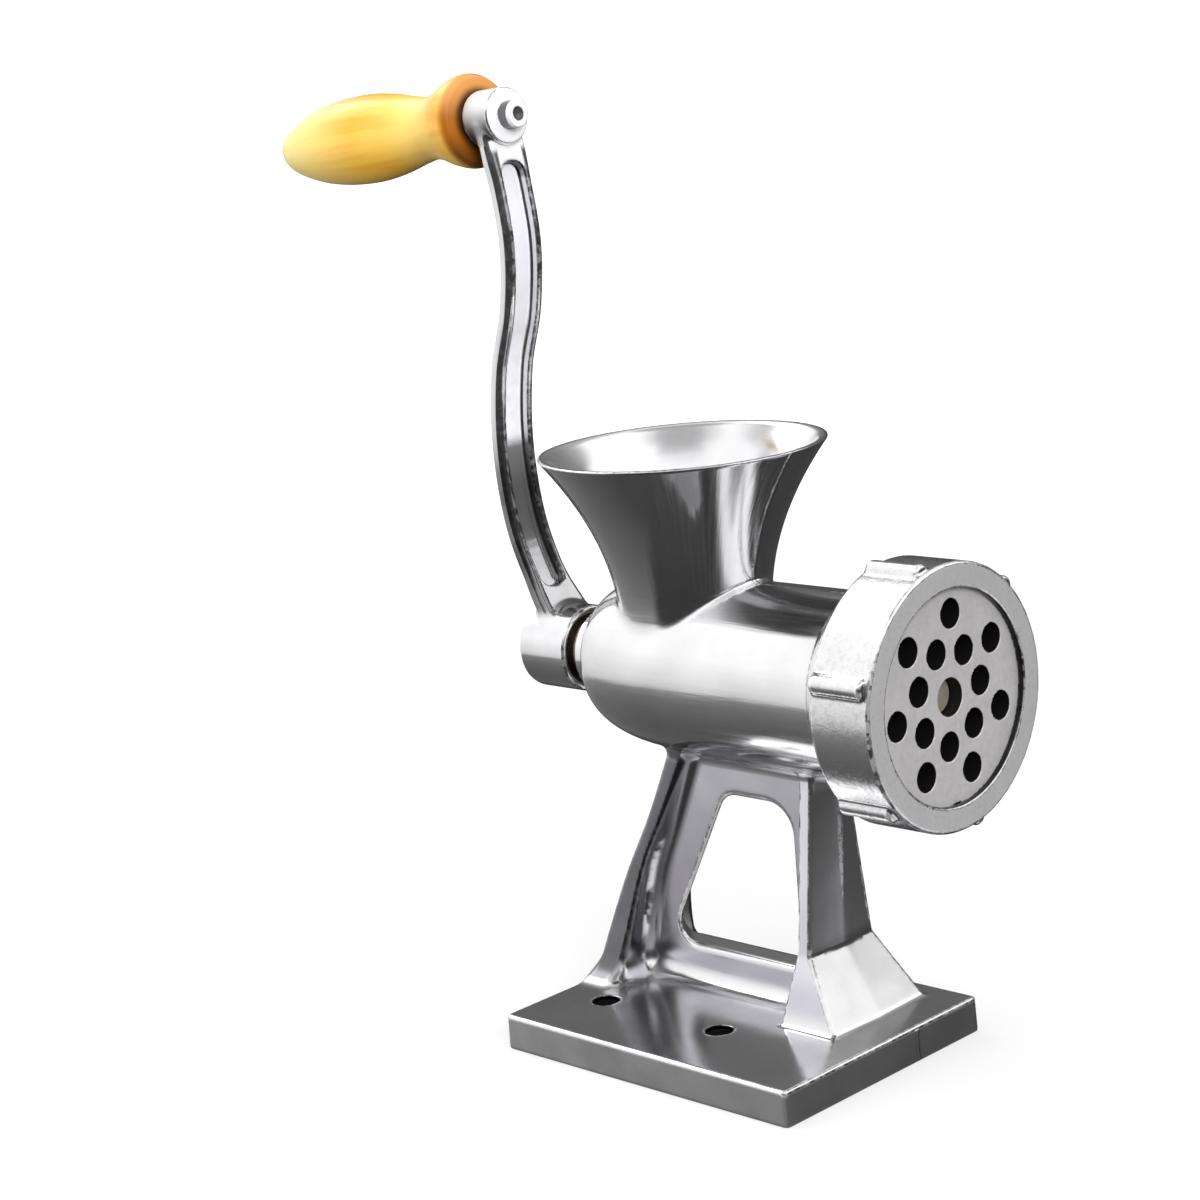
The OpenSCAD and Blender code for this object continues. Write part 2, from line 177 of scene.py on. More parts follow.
def surface(f, xs, ys, zs, relax=3, nrm_e=0.3):
    """closed quad mesh of f = 0: surface nets, then every point is put on the surface"""
    shape = (len(xs), len(ys), len(zs))
    d = np.empty(shape)
    for i in range(0, shape[0], 24):
        d[i:i + 24] = f(xs[i:i + 24, None, None], ys[None, :, None], zs[None, None, :])
    ins = d < 0
    n = ins[:-1, :-1, :-1].astype(np.int8)
    for a, b, c in [(1, 0, 0), (0, 1, 0), (0, 0, 1), (1, 1, 0), (1, 0, 1), (0, 1, 1), (1, 1, 1)]:
        n = n + ins[a:shape[0] - 1 + a, b:shape[1] - 1 + b, c:shape[2] - 1 + c]
    act = (n > 0) & (n < 8)
    idx = np.full(act.shape, -1, np.int64)
    idx[act] = np.arange(act.sum())
    m = int(act.sum())
    acc, cnt = np.zeros((m, 3)), np.zeros(m)
    quads = []
    st = [xs, ys, zs]
    for ax in range(3):
        sl0 = [slice(None)] * 3
        sl1 = [slice(None)] * 3
        sl0[ax], sl1[ax] = slice(0, -1), slice(1, None)
        c = np.argwhere(ins[tuple(sl0)] != ins[tuple(sl1)])
        j = c.copy()
        j[:, ax] += 1
        da, db = d[c[:, 0], c[:, 1], c[:, 2]], d[j[:, 0], j[:, 1], j[:, 2]]
        t = da / (da - db)
        pt = np.stack([st[k][c[:, k]] for k in range(3)], 1)
        pt[:, ax] += t * (st[ax][j[:, ax]] - st[ax][c[:, ax]])
        b1, b2 = (ax + 1) % 3, (ax + 2) % 3
        ring = []
        for o1, o2 in [(1, 1), (0, 1), (0, 0), (1, 0)]:
            q = c.copy()
            q[:, b1] -= o1
            q[:, b2] -= o2
            ok = np.all((q >= 0) & (q < np.array(act.shape)), 1)
            v = np.where(ok, idx[tuple(np.where(ok[:, None], q, 0).T)], -1)
            ring.append(v)
            g = v >= 0
            for k in range(3):
                acc[:, k] += np.bincount(v[g], pt[g, k], m)
            cnt += np.bincount(v[g], minlength=m)
        ring = np.stack(ring, 1)
        ok = np.all(ring >= 0, 1)
        ring, fl = ring[ok], (da[ok] >= 0)
        ring[fl] = ring[fl][:, ::-1]
        quads.append(ring)
    p = acc / cnt[:, None]
    quads = np.concatenate(quads)
    edges = np.unique(np.sort(np.concatenate([quads[:, [0, 1]], quads[:, [1, 2]], quads[:, [2, 3]], quads[:, [3, 0]]]), 1), axis=0)
    deg = np.bincount(edges.ravel(), minlength=m)

    def land(p, times):
        for _ in range(times):
            v = f(p[:, 0], p[:, 1], p[:, 2])
            g = gradient(f, p)
            l2 = np.maximum((g * g).sum(1), 0.2)
            s = (v / l2)[:, None] * g
            ln = np.linalg.norm(s, axis=1, keepdims=True)
            p = p - s * np.minimum(1, 0.8 / np.maximum(ln, 1e-9))
        return p, g

    p, g = land(p, 4)
    for _ in range(relax):
        mean = np.zeros_like(p)
        for k in range(3):
            mean[:, k] = np.bincount(edges[:, 0], p[edges[:, 1], k], m) + np.bincount(edges[:, 1], p[edges[:, 0], k], m)
        mean /= deg[:, None]
        nn = g / np.maximum(np.linalg.norm(g, axis=1, keepdims=True), 1e-9)
        mv = mean - p
        mv -= (mv * nn).sum(1, keepdims=True) * nn
        p, g = land(p + 0.45 * mv, 2)
    g = gradient(f, p, nrm_e)
    nn = g / np.maximum(np.linalg.norm(g, axis=1, keepdims=True), 1e-9)
    return p, quads, nn


# ---------------------------------------------------------------- the body casting
HOP_X, NECK_Z, RIM_Z, NECK_R, RIM_R, HOP_WALL = -18.9, 138.0, 197.0, 25.2, 48.2, 3.0
WEB = [[-57, 8], [32, 8], [32, 104], [-26, 104], [-28, 97.5], [-50, 49.4]]
WINDOW = rounded([[-38.1, 25, 7], [19.2, 25, 4], [20.2, 80.6, 10], [-7.5, 80.6, 8]], 10)
FRONT_SIDE = [[27.4, 106], [27.4, 37], [24, 9], [49.2, 9], [47.2, 12], [32.7, 34.3], [32.7, 106]]
FRONT_LEFT = [[22.7, 12], [15.3, 34.3], [8.5, 88], [6.8, 106]]
FRONT_RIGHT = [[23.7, 12], [16.8, 34.3], [10.6, 88], [8.8, 106]]
REAR_SIDE = np.concatenate([spline([[-51.5, 8], [-50.5, 20], [-43, 49.4], [-32.5, 71], [-18, 102]], 5), spline([[-26.4, 102], [-30.2, 93], [-40.2, 71], [-51.4, 49.4], [-59.4, 28], [-62.2, 15], [-62.4, 8]], 5)])
REAR_WIDE = spline([[24.5, 8], [20.5, 15], [16.5, 28], [13, 49.4], [11, 71], [9, 93], [8, 104]], 5)


def width_at(z, P):
    P = np.asarray(P, float)
    o = np.argsort(P[:, 1])
    return np.interp(z, P[o, 1], P[o, 0])


def hopper_r(z):
    return NECK_R + (RIM_R - NECK_R) * (np.maximum(0, z - NECK_Z) / (RIM_Z - NECK_Z)) ** 2.05


def hopper_out(x, y, z, off=0.0):
    r = np.hypot(x - HOP_X, y)
    k = np.maximum(0, z - NECK_Z) / (RIM_Z - NECK_Z)
    sl = 2.05 * (RIM_R - NECK_R) / (RIM_Z - NECK_Z) * k ** 1.05
    return (r - hopper_r(z) + off) / np.sqrt(1 + sl * sl)


def barrel_out(x, r):
    cyl = r - 29.5
    k = np.maximum(-20 - x, 0) / 36.6
    q = np.maximum(r - 15.8, 0) / 13.7
    s = np.maximum(k ** 2.3 + q ** 2.3, 1e-9)
    f = s ** (1 / 2.3) - 1
    gx = s ** (1 / 2.3 - 1) * k ** 1.3 / 36.6
    gr = s ** (1 / 2.3 - 1) * q ** 1.3 / 13.7
    dome = f / np.maximum(np.hypot(gx, gr), 0.02)
    dome = np.where(r < 15.8, np.maximum(dome, -56.6 - x), dome)
    body = np.where(x < -20, dome, cyl)
    body = np.maximum(body, x - 82.4)
    boss = inter(r - 14.5, np.maximum(-65 - x, x + 30), 1.0)
    head = polygon(x, r, [[50, -2], [50, 29.3], [53, 29.5], [61, 37.5], [82.4, 37.5], [82.4, -2]])
    return np.minimum(fillet(body, boss, 1.6), head)


def barrel_in(x, r):
    return polygon(x, r, [[-70, -30], [-70, 10.5], [-50, 10.5], [-50, 17], [-34, 25.5], [66.5, 25.5], [66.5, 35.08], [90, 35.08], [90, -30]])


def body(x, y, z):
    ay = np.abs(y)
    r = np.hypot(y, z - AXIS)
    # base
    dr = 0.018 * (12 - z)
    qx, qy = np.abs(x) - 60.7 - dr, np.abs(y + 16.2) - 45.8 - dr
    d2 = np.hypot(np.maximum(qx, 0), np.maximum(qy, 0)) + np.minimum(np.maximum(qx, qy), 0) - 1.8
    base = inter(d2, np.abs(z - 6) - 6, 0.9)
    # web and window
    # the window's rear side is drawn back at an angle
    w2 = np.maximum(polygon(x, z, WEB), -polygon(x + (y + 5.5) * smooth(8, -4, x), z, WINDOW))
    web = inter(w2, ay - 5.5, 2.4)
    # front leg: two facets that meet in a ridge on the middle plane
    wl, wr = width_at(z, FRONT_LEFT), width_at(z, FRONT_RIGHT)
    y0 = np.interp(z, [12, 34, 88], [0.5, 0.5, 1.5])
    ridge = np.interp(z, [12, 34, 88, 96], [0.8, 1.4, 4.0, 4.0]) * (1 - np.sqrt((y - y0) ** 2 + 0.4) / np.where(y < y0, wl + y0, wr - y0))
    f2 = polygon(x - np.clip(ridge, -1, 4) * smooth(20, 30, x), z, FRONT_SIDE)
    front = inter(f2, np.maximum(y - wr, -y - wl) * 0.97, 1.1)
    # rear leg
    rear = inter(polygon(x, z, REAR_SIDE), (ay - width_at(z, REAR_WIDE)) * 0.96, 2.2)
    stand = fillet(fillet(web, rear, 5.5), front, 2.6)
    rb = 1.2 + 5.0 * smooth(26, 10, x) + 2.5 * smooth(-34, -52, x)
    low = fillet(base, stand, rb)
    # barrel and hopper
    hop = inter(hopper_out(x, y, z), np.maximum(z - RIM_Z, AXIS - z), 1.0)
    up = fillet(barrel_out(x, r), hop, 1.6)
    d = fillet(low, up, 4.0)
    # hollows
    hin = np.maximum(hopper_out(x, y, z, HOP_WALL + 0.9 * smooth(RIM_Z, RIM_Z - 9, z)), AXIS - z)
    d = cut(d, np.minimum(barrel_in(x, r), hin), 1.0)
    hole = np.minimum(np.minimum(np.hypot(x + 42.3, y + 36), np.hypot(x - 9.7, y + 36)), np.minimum(np.hypot(x + 42.3, y - 18), np.hypot(x - 9.7, y - 18))) - 4.5
    return cut(d, np.maximum(hole, z - 16), 0.3)



# ---------------------------------------------------------------- crank, ring, plate, screw, spindle
DROOP = math.radians(4.5)
GRIP_DIR = np.array([-math.cos(DROOP), 0, -math.sin(DROOP)])
BOSS = np.array([-92.8, 0, 305.6])
ARM_LINE = spline([[-79.4, 131], [-89.6, 146], [-97.7, 166.7], [-100.3, 193], [-97, 219.5], [-89.8, 240.4], [-86.6, 262], [-88.4, 282], [-92.6, 303]], 7)


def handle_coords(x, y, z):
    s = (x - BOSS[0]) * GRIP_DIR[0] + (z - BOSS[2]) * GRIP_DIR[2]
    t = (x - BOSS[0]) * -GRIP_DIR[2] + (z - BOSS[2]) * GRIP_DIR[0]
    return s, np.hypot(y, t)


def crank(x, y, z):
    ay = np.abs(y)
    r = np.hypot(y, z - AXIS)
    d, side, along, total = line_field(x, z, ARM_LINE)
    sd = d * side
    half = 8.5 + 1.6 * smooth(24, 4, along) + 0.6 * smooth(total - 22, total - 8, along)
    arm = inter(d - 3.25, ay - half, 3.1)
    # long channel between two ribs
    a0, a1 = 15.0, total - 13.0
    qy, qs = ay - 5.0 + 4.2, np.abs(along - (a0 + a1) / 2) - (a1 - a0) / 2 + 4.2
    rr = np.hypot(np.maximum(qy, 0), np.maximum(qs, 0)) + np.minimum(np.maximum(qy, qs), 0) - 4.2
    pocket = inter(rr, -(sd + 0.35), 1.6)
    arm = cut(arm, pocket, 1.2)
    hub = inter(r - 15.0, np.abs(x + 80.55) - 11.05, 1.3)
    s, rad = handle_coords(x, y, z)
    boss = inter(rad - 9.6, np.abs(s) - 6.4, 1.1)
    d = fillet(fillet(hub, arm, 1.8), boss, 1.4)
    eye = np.maximum(ay, np.abs(z - AXIS)) - 5.55
    d = np.maximum(d, -np.maximum(eye, x + 60))
    return np.maximum(d, -(rad - 4.0))


def ring(x, y, z):
    r = np.hypot(y, z - AXIS)
    a = np.arctan2(z - AXIS, y)
    shell = inter(r - 42.1, np.maximum(64.9 - x, x - 88.1), 1.2)
    w = (a - math.radians(43.5) + math.pi / 6) % (math.pi / 3) - math.pi / 6
    lug = np.hypot(r * np.sin(w), r * np.cos(w) - 41.4) - 3.3
    lug = inter(lug, np.maximum(65.6 - x, x - 86.2), 1.4)
    d = fillet(shell, lug, 0.9)
    d = cut(d, r - 33.7, 1.0)
    return np.maximum(d, -np.maximum(r - 37.6, x - 85.7))


def plate(x, y, z):
    u, v = y, z - AXIS
    r = np.hypot(u, v)
    d = inter(r - 35.0, np.abs(x - 81.6) - 4, 0.5)
    hole = r - 6.0
    for k in range(7):
        for off, pr in ((0, 25.9), (0.5, 15.4)):
            t = math.radians(83.7 + 360 / 7 * (k + off))
            hole = np.minimum(hole, np.hypot(u - pr * math.cos(t), v - pr * math.sin(t)) - 4.65)
    d = cut(d, hole, 0.35)
    return np.maximum(d, -np.maximum(np.abs(u) - 2.2, v + 33.75))


def auger(x, y, z):
    u, v = y, z - AXIS
    r = np.hypot(u, v)
    phi = np.arctan2(u, -v)
    pitch = 32.0
    w = (x + 31.6 - pitch * phi / (2 * math.pi) + pitch / 2) % pitch - pitch / 2
    half = np.interp(r, [13, 18, 25], [3.2, 2.58, 1.9])
    c = np.cos(np.arctan(pitch / (2 * math.pi * np.maximum(r, 8))))
    flight = inter((np.abs(w) - half) * c, r - 24.9, 0.8)
    flight = inter(flight, np.maximum(-31.6 - x, x - 61.6), 0.8)
    core = np.maximum(r - 13, np.maximum(-46.6 - x, x - 70.7))
    ends = inter(r - 14.6, np.maximum(np.maximum(-46.6 - x, x - 70.7), np.minimum(x + 31, 61 - x)), 0.8)
    d = fillet(fillet(core, flight, 3.0), ends, 1.0)
    bore = np.minimum(np.maximum(r - 8, x + 20), np.maximum(r - 5, 54.9 - x))
    return np.maximum(d, -bore)


def clamp_screw(x, y, z):
    v = z - AXIS
    r = np.hypot(y, v)
    stem = np.maximum(r - 3, np.maximum(-94.6 - x, x + 66.5))
    head = inter(r - 6.8, np.maximum(-97.6 - x, x + 93.2), 0.8)
    slot = np.maximum(np.abs(v) - 0.8, x + 95.6)
    return np.minimum(stem, cut(head, slot, 0.2))


def spindle(x, y, z):
    s, rad = handle_coords(x, y, z)
    t = (x - BOSS[0]) * -GRIP_DIR[2] + (z - BOSS[2]) * GRIP_DIR[0]
    end = 6.4 + 1.2 + 101 - 9
    rod = np.maximum(rad - 4.0, np.maximum(-6.6 - s, s - end - 1.5))
    stub = inter(rad - 4.7, np.maximum(-11.6 - s, s + 6.4), 0.5)
    stub = np.maximum(stub, -(np.hypot(rad, s + 12.8) - 2.3))
    head = inter(rad - 5.0, np.maximum(end + 1.3 - s, s - end - 4.7), 0.6)
    slot = np.maximum(np.abs(t) - 0.6, end + 3.3 - s)
    return np.minimum(np.minimum(rod, stub), np.maximum(head, -slot))



# ---------------------------------------------------------------- Blender objects
def mesh_object(name, p, quads, nn=None):
    me = bpy.data.meshes.new(name)
    me.from_pydata((p / 1000.0).tolist(), [], quads.tolist())
    me.update()
    me.polygons.foreach_set("use_smooth", np.ones(len(me.polygons), bool))
    if nn is not None:
        me.normals_split_custom_set_from_vertices(nn.tolist())
    ob = bpy.data.objects.new(name, me)
    bpy.context.scene.collection.objects.link(ob)
    return ob


def bend(f, p, h=0.8):
    """sum of the curvatures at each point in 1/mm: above 0 on outside edges, below 0 in corners"""
    c = -6.0 * f(p[:, 0], p[:, 1], p[:, 2])
    for k in range(3):
        for step in (-h, h):
            q = p.copy()
            q[:, k] += step
            c = c + f(q[:, 0], q[:, 1], q[:, 2])
    return np.clip(c / h ** 2, -1.0, 1.0)


def sdf_object(name, f, lo, hi, step, fine=((), (), ()), relax=3, nrm_e=0.3):
    st = [axis_points(lo[k], hi[k], step, fine[k]) for k in range(3)]
    p, q, nn = surface(f, *st, relax=relax, nrm_e=nrm_e)
    ob = mesh_object(name, p, q, nn)
    ob.data.attributes.new("bend", "FLOAT", "POINT").data.foreach_set("value", bend(f, p).astype(np.float32))
    return ob


def lathe_object(name, prof, seg):
    """closed turned shape about local Z from [radius, height] points"""
    prof = np.asarray(prof, float)
    n = len(prof)
    a = np.arange(seg) * 2 * math.pi / seg
    p = np.stack([prof[:, 0][None, :] * np.cos(a)[:, None], prof[:, 0][None, :] * np.sin(a)[:, None], np.repeat(prof[:, 1][None, :], seg, 0)], -1).reshape(-1, 3)
    i, j = np.meshgrid(np.arange(seg), np.arange(n), indexing="ij")
    i2, j2 = (i + 1) % seg, (j + 1) % n
    q = np.stack([i * n + j, i2 * n + j, i2 * n + j2, i * n + j2], -1).reshape(-1, 4)
    return mesh_object(name, p, q)


# ---------------------------------------------------------------- node helpers
class Nodes:
    def __init__(self, tree):
        self.t = tree

    def n(self, kind, **kw):
        node = self.t.nodes.new(kind)
        for k, v in kw.items():
            setattr(node, k, v)
        return node

    def put(self, socket, v):
        if isinstance(v, bpy.types.NodeSocket):
            self.t.links.new(v, socket)
        else:
            socket.default_value = v

    def math(self, op, a, b=0.0, c=0.0, clamp=False):
        k = self.n("ShaderNodeMath", operation=op, use_clamp=clamp)
        for s, v in zip(k.inputs, (a, b, c)):
            self.put(s, v)
        return k.outputs[0]

    def ramp(self, x, a, b, lo=0.0, hi=1.0):
        k = self.n("ShaderNodeMapRange", interpolation_type="SMOOTHSTEP")
        for s, v in zip(("Value", "From Min", "From Max", "To Min", "To Max"), (x, a, b, lo, hi)):
            self.put(k.inputs[s], v)
        return k.outputs["Result"]

    def band(self, x, lo, hi, soft):
        """1 between lo and hi, with soft ends"""
        return self.math("MULTIPLY", self.ramp(x, lo - soft, lo + soft), self.ramp(x, hi - soft, hi + soft, 1.0, 0.0))

    def mix(self, f, a, b, mode="MIX"):
        k = self.n("ShaderNodeMix", data_type="RGBA", blend_type=mode)
        self.put(k.inputs[0], f)
        self.put(k.inputs[6], a if isinstance(a, bpy.types.NodeSocket) else (*a, 1.0) if len(a) == 3 else a)
        self.put(k.inputs[7], b if isinstance(b, bpy.types.NodeSocket) else (*b, 1.0) if len(b) == 3 else b)
        return k.outputs[2]

    def noise(self, co, scale, detail=3.0, rough=0.5, stretch=None, spin=(0, 0, 0)):
        if stretch is not None:
            m = self.n("ShaderNodeMapping")
            self.put(m.inputs["Vector"], co)
            m.inputs["Scale"].default_value = stretch
            m.inputs["Rotation"].default_value = spin
            co = m.outputs[0]
        k = self.n("ShaderNodeTexNoise")
        self.put(k.inputs["Vector"], co)
        k.inputs["Scale"].default_value = scale
        k.inputs["Detail"].default_value = detail
        k.inputs["Roughness"].default_value = rough
        return k.outputs["Fac"]

    def xyz(self, co):
        k = self.n("ShaderNodeSeparateXYZ")
        self.put(k.inputs[0], co)
        return k.outputs[0], k.outputs[1], k.outputs[2]

    def bump(self, height, strength, distance, normal=None):
        k = self.n("ShaderNodeBump")
        k.inputs["Strength"].default_value = strength
        k.inputs["Distance"].default_value = distance
        self.put(k.inputs["Height"], height)
        if normal is not None:
            self.put(k.inputs["Normal"], normal)
        return k.outputs[0]


class Mat(Nodes):
    def __init__(self, name, metallic):
        self.m = bpy.data.materials.new(name)
        self.m.use_nodes = True
        super().__init__(self.m.node_tree)
        self.b = self.t.nodes["Principled BSDF"]
        self.b.inputs["Metallic"].default_value = metallic
        self.co = self.n("ShaderNodeTexCoord").outputs["Object"]
        self.nrm = self.n("ShaderNodeNewGeometry").outputs["Normal"]

    def worn_highlight(self, a, b, scale, lo, hi):
        """ragged mask along the outside edges"""
        e = self.n("ShaderNodeAttribute", attribute_name="bend").outputs["Fac"]
        return self.math("MULTIPLY", self.ramp(e, a, b), self.ramp(self.noise(self.co, scale, 3.0, 0.6), lo, hi))

    def set(self, **kw):
        for k, v in kw.items():
            self.put(self.b.inputs[k.replace("_", " ")], v)


def metal(name, tone, dark, r0, r1, grain=900.0, grain_bump=0.05, wave=0.0, wave_scale=45.0, brushed=None, brush_bump=0.0):
    """bright or satin metal: cloudy tone, uneven roughness, fine grain and a slow waviness from hand polishing"""
    m = Mat(name, 1.0)
    big = m.noise(m.co, 55.0, 4.0, 0.6)
    fine = m.noise(m.co, grain, 2.0, 0.5)
    m.set(Base_Color=m.mix(m.ramp(big, 0.3, 0.72), dark, tone))
    rough = m.math("ADD", m.ramp(big, 0.25, 0.75, r1, r0), m.math("MULTIPLY", m.math("SUBTRACT", fine, 0.5), 0.08))
    m.set(Roughness=rough)
    nn = m.bump(fine, grain_bump, 0.0004)
    if wave:
        nn = m.bump(m.noise(m.co, wave_scale, 1.5, 0.45), wave, 0.004, nn)
    if brushed is not None:
        nn = m.bump(m.noise(m.co, 1.0, 2.0, 0.6, stretch=brushed), brush_bump, 0.0004, nn)
    m.set(Normal=nn)
    return m


# ---------------------------------------------------------------- finishes
def casting_finish():
    m = Mat("polished_casting", 1.0)
    x, y, z = m.xyz(m.co)
    nx, ny, nz = m.xyz(m.nrm)
    ay = m.math("ABSOLUTE", y)
    big = m.noise(m.co, 38.0, 4.0, 0.55)
    fine = m.noise(m.co, 900.0, 2.0, 0.5)
    low = m.ramp(m.math("ABSOLUTE", nz), 0.25, 0.6, 1.0, 0.0)
    side = m.math("MULTIPLY", m.ramp(z, 0.0104, 0.0110, 1.0, 0.0), low)
    top = m.math("MULTIPLY", m.band(z, 0.0112, 0.0126, 0.0004), m.ramp(nz, 0.8, 0.97))
    web = m.math("MULTIPLY", m.band(z, 0.016, 0.092, 0.003), m.ramp(m.math("ABSOLUTE", ny), 0.7, 0.95))
    # inside of the hopper: the normal points at its axis
    hx = m.math("ADD", x, -HOP_X / 1000.0)
    inward = m.math("ADD", m.math("MULTIPLY", hx, nx), m.math("MULTIPLY", y, ny))
    inside = m.math("MULTIPLY", m.ramp(z, 0.140, 0.150), m.ramp(inward, -0.006, -0.001, 1.0, 0.0))
    # walls of the four bolt holes, painted near-black as shade inside them
    qx = m.math("SUBTRACT", m.math("ABSOLUTE", m.math("ADD", x, 0.0163)), 0.026)
    qy = m.math("SUBTRACT", m.math("ABSOLUTE", m.math("ADD", y, 0.009)), 0.027)
    hole = m.math("SQRT", m.math("ADD", m.math("MULTIPLY", qx, qx), m.math("MULTIPLY", qy, qy)))
    hole = m.math("MULTIPLY", m.ramp(hole, 0.0047, 0.0052, 1.0, 0.0), m.ramp(z, 0.0118, 0.0122, 1.0, 0.0))
    # rear leg: rougher than the rest, its colour darkened as painted shade, with a painted highlight streak along its
    # fillet
    rear = m.math("SUBTRACT", x, m.math("MULTIPLY_ADD", z, 0.40, -0.0565))
    rear = m.math("MULTIPLY", m.ramp(rear, -0.004, 0.002, 1.0, 0.0), m.math("MULTIPLY", m.ramp(z, 0.0122, 0.0140), m.ramp(z, 0.090, 0.096, 1.0, 0.0)))
    cloud = m.ramp(big, 0.3, 0.7)
    col = m.mix(cloud, (0.77, 0.77, 0.78), (0.85, 0.85, 0.86))
    col = m.mix(web, col, m.mix(cloud, (0.74, 0.72, 0.79), (0.81, 0.79, 0.86)))
    # painted shade: the web's face darkens towards the base it stands on
    col = m.mix(m.math("MULTIPLY", web, m.ramp(z, 0.022, 0.032, 0.75, 0.0)), col, (0.56, 0.55, 0.60))
    fillet_highlight_streak = m.math("MULTIPLY", m.band(y, -0.0098, -0.0076, 0.0007), m.math("MULTIPLY", m.band(z, 0.024, 0.062, 0.004), m.ramp(m.noise(m.co, 160.0, 2.0, 0.5), 0.36, 0.52)))
    fillet_highlight_streak = m.math("MULTIPLY", fillet_highlight_streak, rear)
    # painted shade: dark colour for the rear leg
    leg = m.mix(cloud, (0.105, 0.103, 0.114), (0.160, 0.157, 0.172))
    col = m.mix(m.math("MULTIPLY", rear, 0.96), col, m.mix(fillet_highlight_streak, leg, (0.78, 0.77, 0.76)))
    # painted shade: the front foot's upward facets greyer than its -Y facet
    foot_facet_shade = m.math("MULTIPLY", m.band(z, 0.0130, 0.040, 0.0008), m.math("MULTIPLY", m.math("MULTIPLY", m.ramp(nz, 0.22, 0.36), m.ramp(ny, -0.82, -0.66)), m.ramp(x, 0.018, 0.022)))
    col = m.mix(foot_facet_shade, col, m.mix(cloud, (0.66, 0.66, 0.665), (0.74, 0.74, 0.745)))
    stem = m.math("MULTIPLY", m.band(z, 0.037, 0.090, 0.002), m.math("MULTIPLY", m.ramp(nx, 0.3, 0.6), m.ramp(x, 0.022, 0.026)))
    # painted shade: the base sides' rough grey is scaled lighter on the -Y side than on the +X side, and darker towards
    # +X
    shade = m.math("MULTIPLY", m.ramp(ny, -0.9, -0.4, 1.6, 0.80), m.ramp(x, -0.050, 0.055, 1.04, 0.80))
    grey = m.mix(cloud, (0.13, 0.13, 0.132), (0.18, 0.18, 0.183))
    lit = m.n("ShaderNodeVectorMath", operation="SCALE")
    m.put(lit.inputs[0], grey)
    m.put(lit.inputs["Scale"], shade)
    col = m.mix(side, col, lit.outputs[0])
    # painted shade: the base's top face gets a darker colour than the rest of the polished casting
    col = m.mix(top, col, m.mix(cloud, (0.48, 0.48, 0.49), (0.60, 0.60, 0.61)))
    # painted shade: near-black inside the bolt holes
    col = m.mix(hole, col, (0.012, 0.012, 0.012))
    # rubbed edges: partly real wear, partly a painted highlight along the outside edges
    wear_and_highlight = m.math("MULTIPLY", m.worn_highlight(0.20, 0.60, 420.0, 0.38, 0.62), m.math("MULTIPLY", m.ramp(z, 0.088, 0.094, 0.60, 0.0), m.ramp(hole, 0.0, 0.1, 1.0, 0.0)))
    wear_and_highlight = m.math("MULTIPLY", wear_and_highlight, m.math("MULTIPLY", m.ramp(z, 0.0096, 0.0108), m.ramp(rear, 0.0, 1.0, 1.0, 0.35)))
    near = m.math("MULTIPLY", stem, m.ramp(y, -0.0070, -0.0045, 1.0, 0.0))
    wear_and_highlight = m.math("MULTIPLY", wear_and_highlight, m.math("SUBTRACT", 1.0, near))
    # painted highlight: a ragged light line along the front leg's ridge
    ridge = m.math("MULTIPLY", m.math("SUBTRACT", stem, near), m.worn_highlight(0.03, 0.16, 420.0, 0.38, 0.60))
    wear_and_highlight = m.math("MAXIMUM", wear_and_highlight, m.math("MULTIPLY", ridge, 0.75))
    col = m.mix(wear_and_highlight, col, (0.80, 0.80, 0.81))
    m.set(Base_Color=col)
    m.set(Metallic=m.math("SUBTRACT", 1.0, m.math("ADD", m.math("MULTIPLY", side, 0.5), m.math("ADD", m.math("MULTIPLY", m.math("MAXIMUM", top, stem), 0.04), m.math("MAXIMUM", m.math("MULTIPLY", inside, 0.09), m.math("MAXIMUM", m.math("MULTIPLY", wear_and_highlight, 0.45), m.math("MULTIPLY", fillet_highlight_streak, 0.7)))))))
    r = m.math("ADD", m.ramp(big, 0.25, 0.75, 0.135, 0.085), m.math("MULTIPLY", m.math("SUBTRACT", fine, 0.5), 0.04))
    r = m.math("ADD", r, m.math("MULTIPLY", side, 0.28))
    r = m.math("ADD", r, m.math("MULTIPLY", m.math("MAXIMUM", m.band(z, 0.0135, 0.094, 0.002), rear), 0.10))
    r = m.math("ADD", r, m.math("MULTIPLY", inside, 0.08))
    r = m.math("ADD", r, m.math("MULTIPLY", top, 0.06))
    # polishing marks: round the hopper's axis from rim to neck, and along the barrel
    hr = m.math("SQRT", m.math("ADD", m.math("MULTIPLY", hx, hx), m.math("MULTIPLY", y, y)))
    turn = m.n("ShaderNodeCombineXYZ")
    m.put(turn.inputs[0], m.math("MULTIPLY", m.math("DIVIDE", hx, hr), 24.0))
    m.put(turn.inputs[1], m.math("MULTIPLY", m.math("DIVIDE", y, hr), 24.0))
    m.put(turn.inputs[2], m.math("MULTIPLY", z, 30.0))
    up = m.ramp(z, 0.150, 0.158)
    lines = m.math("ADD", m.math("MULTIPLY", m.noise(turn.outputs[0], 1.0, 3.0, 0.6), up), m.math("MULTIPLY", m.noise(m.co, 1.0, 3.0, 0.6, stretch=(26.0, 520.0, 520.0)), m.math("SUBTRACT", 1.0, up)))
    polish = m.math("MULTIPLY", m.ramp(z, 0.088, 0.096), m.math("SUBTRACT", 1.0, inside))
    r = m.math("ADD", r, m.math("MULTIPLY", m.ramp(lines, 0.42, 0.68), m.math("MULTIPLY", polish, 0.09)))
    r = m.math("ADD", r, m.math("MULTIPLY", wear_and_highlight, 0.15))
    m.set(Roughness=r)
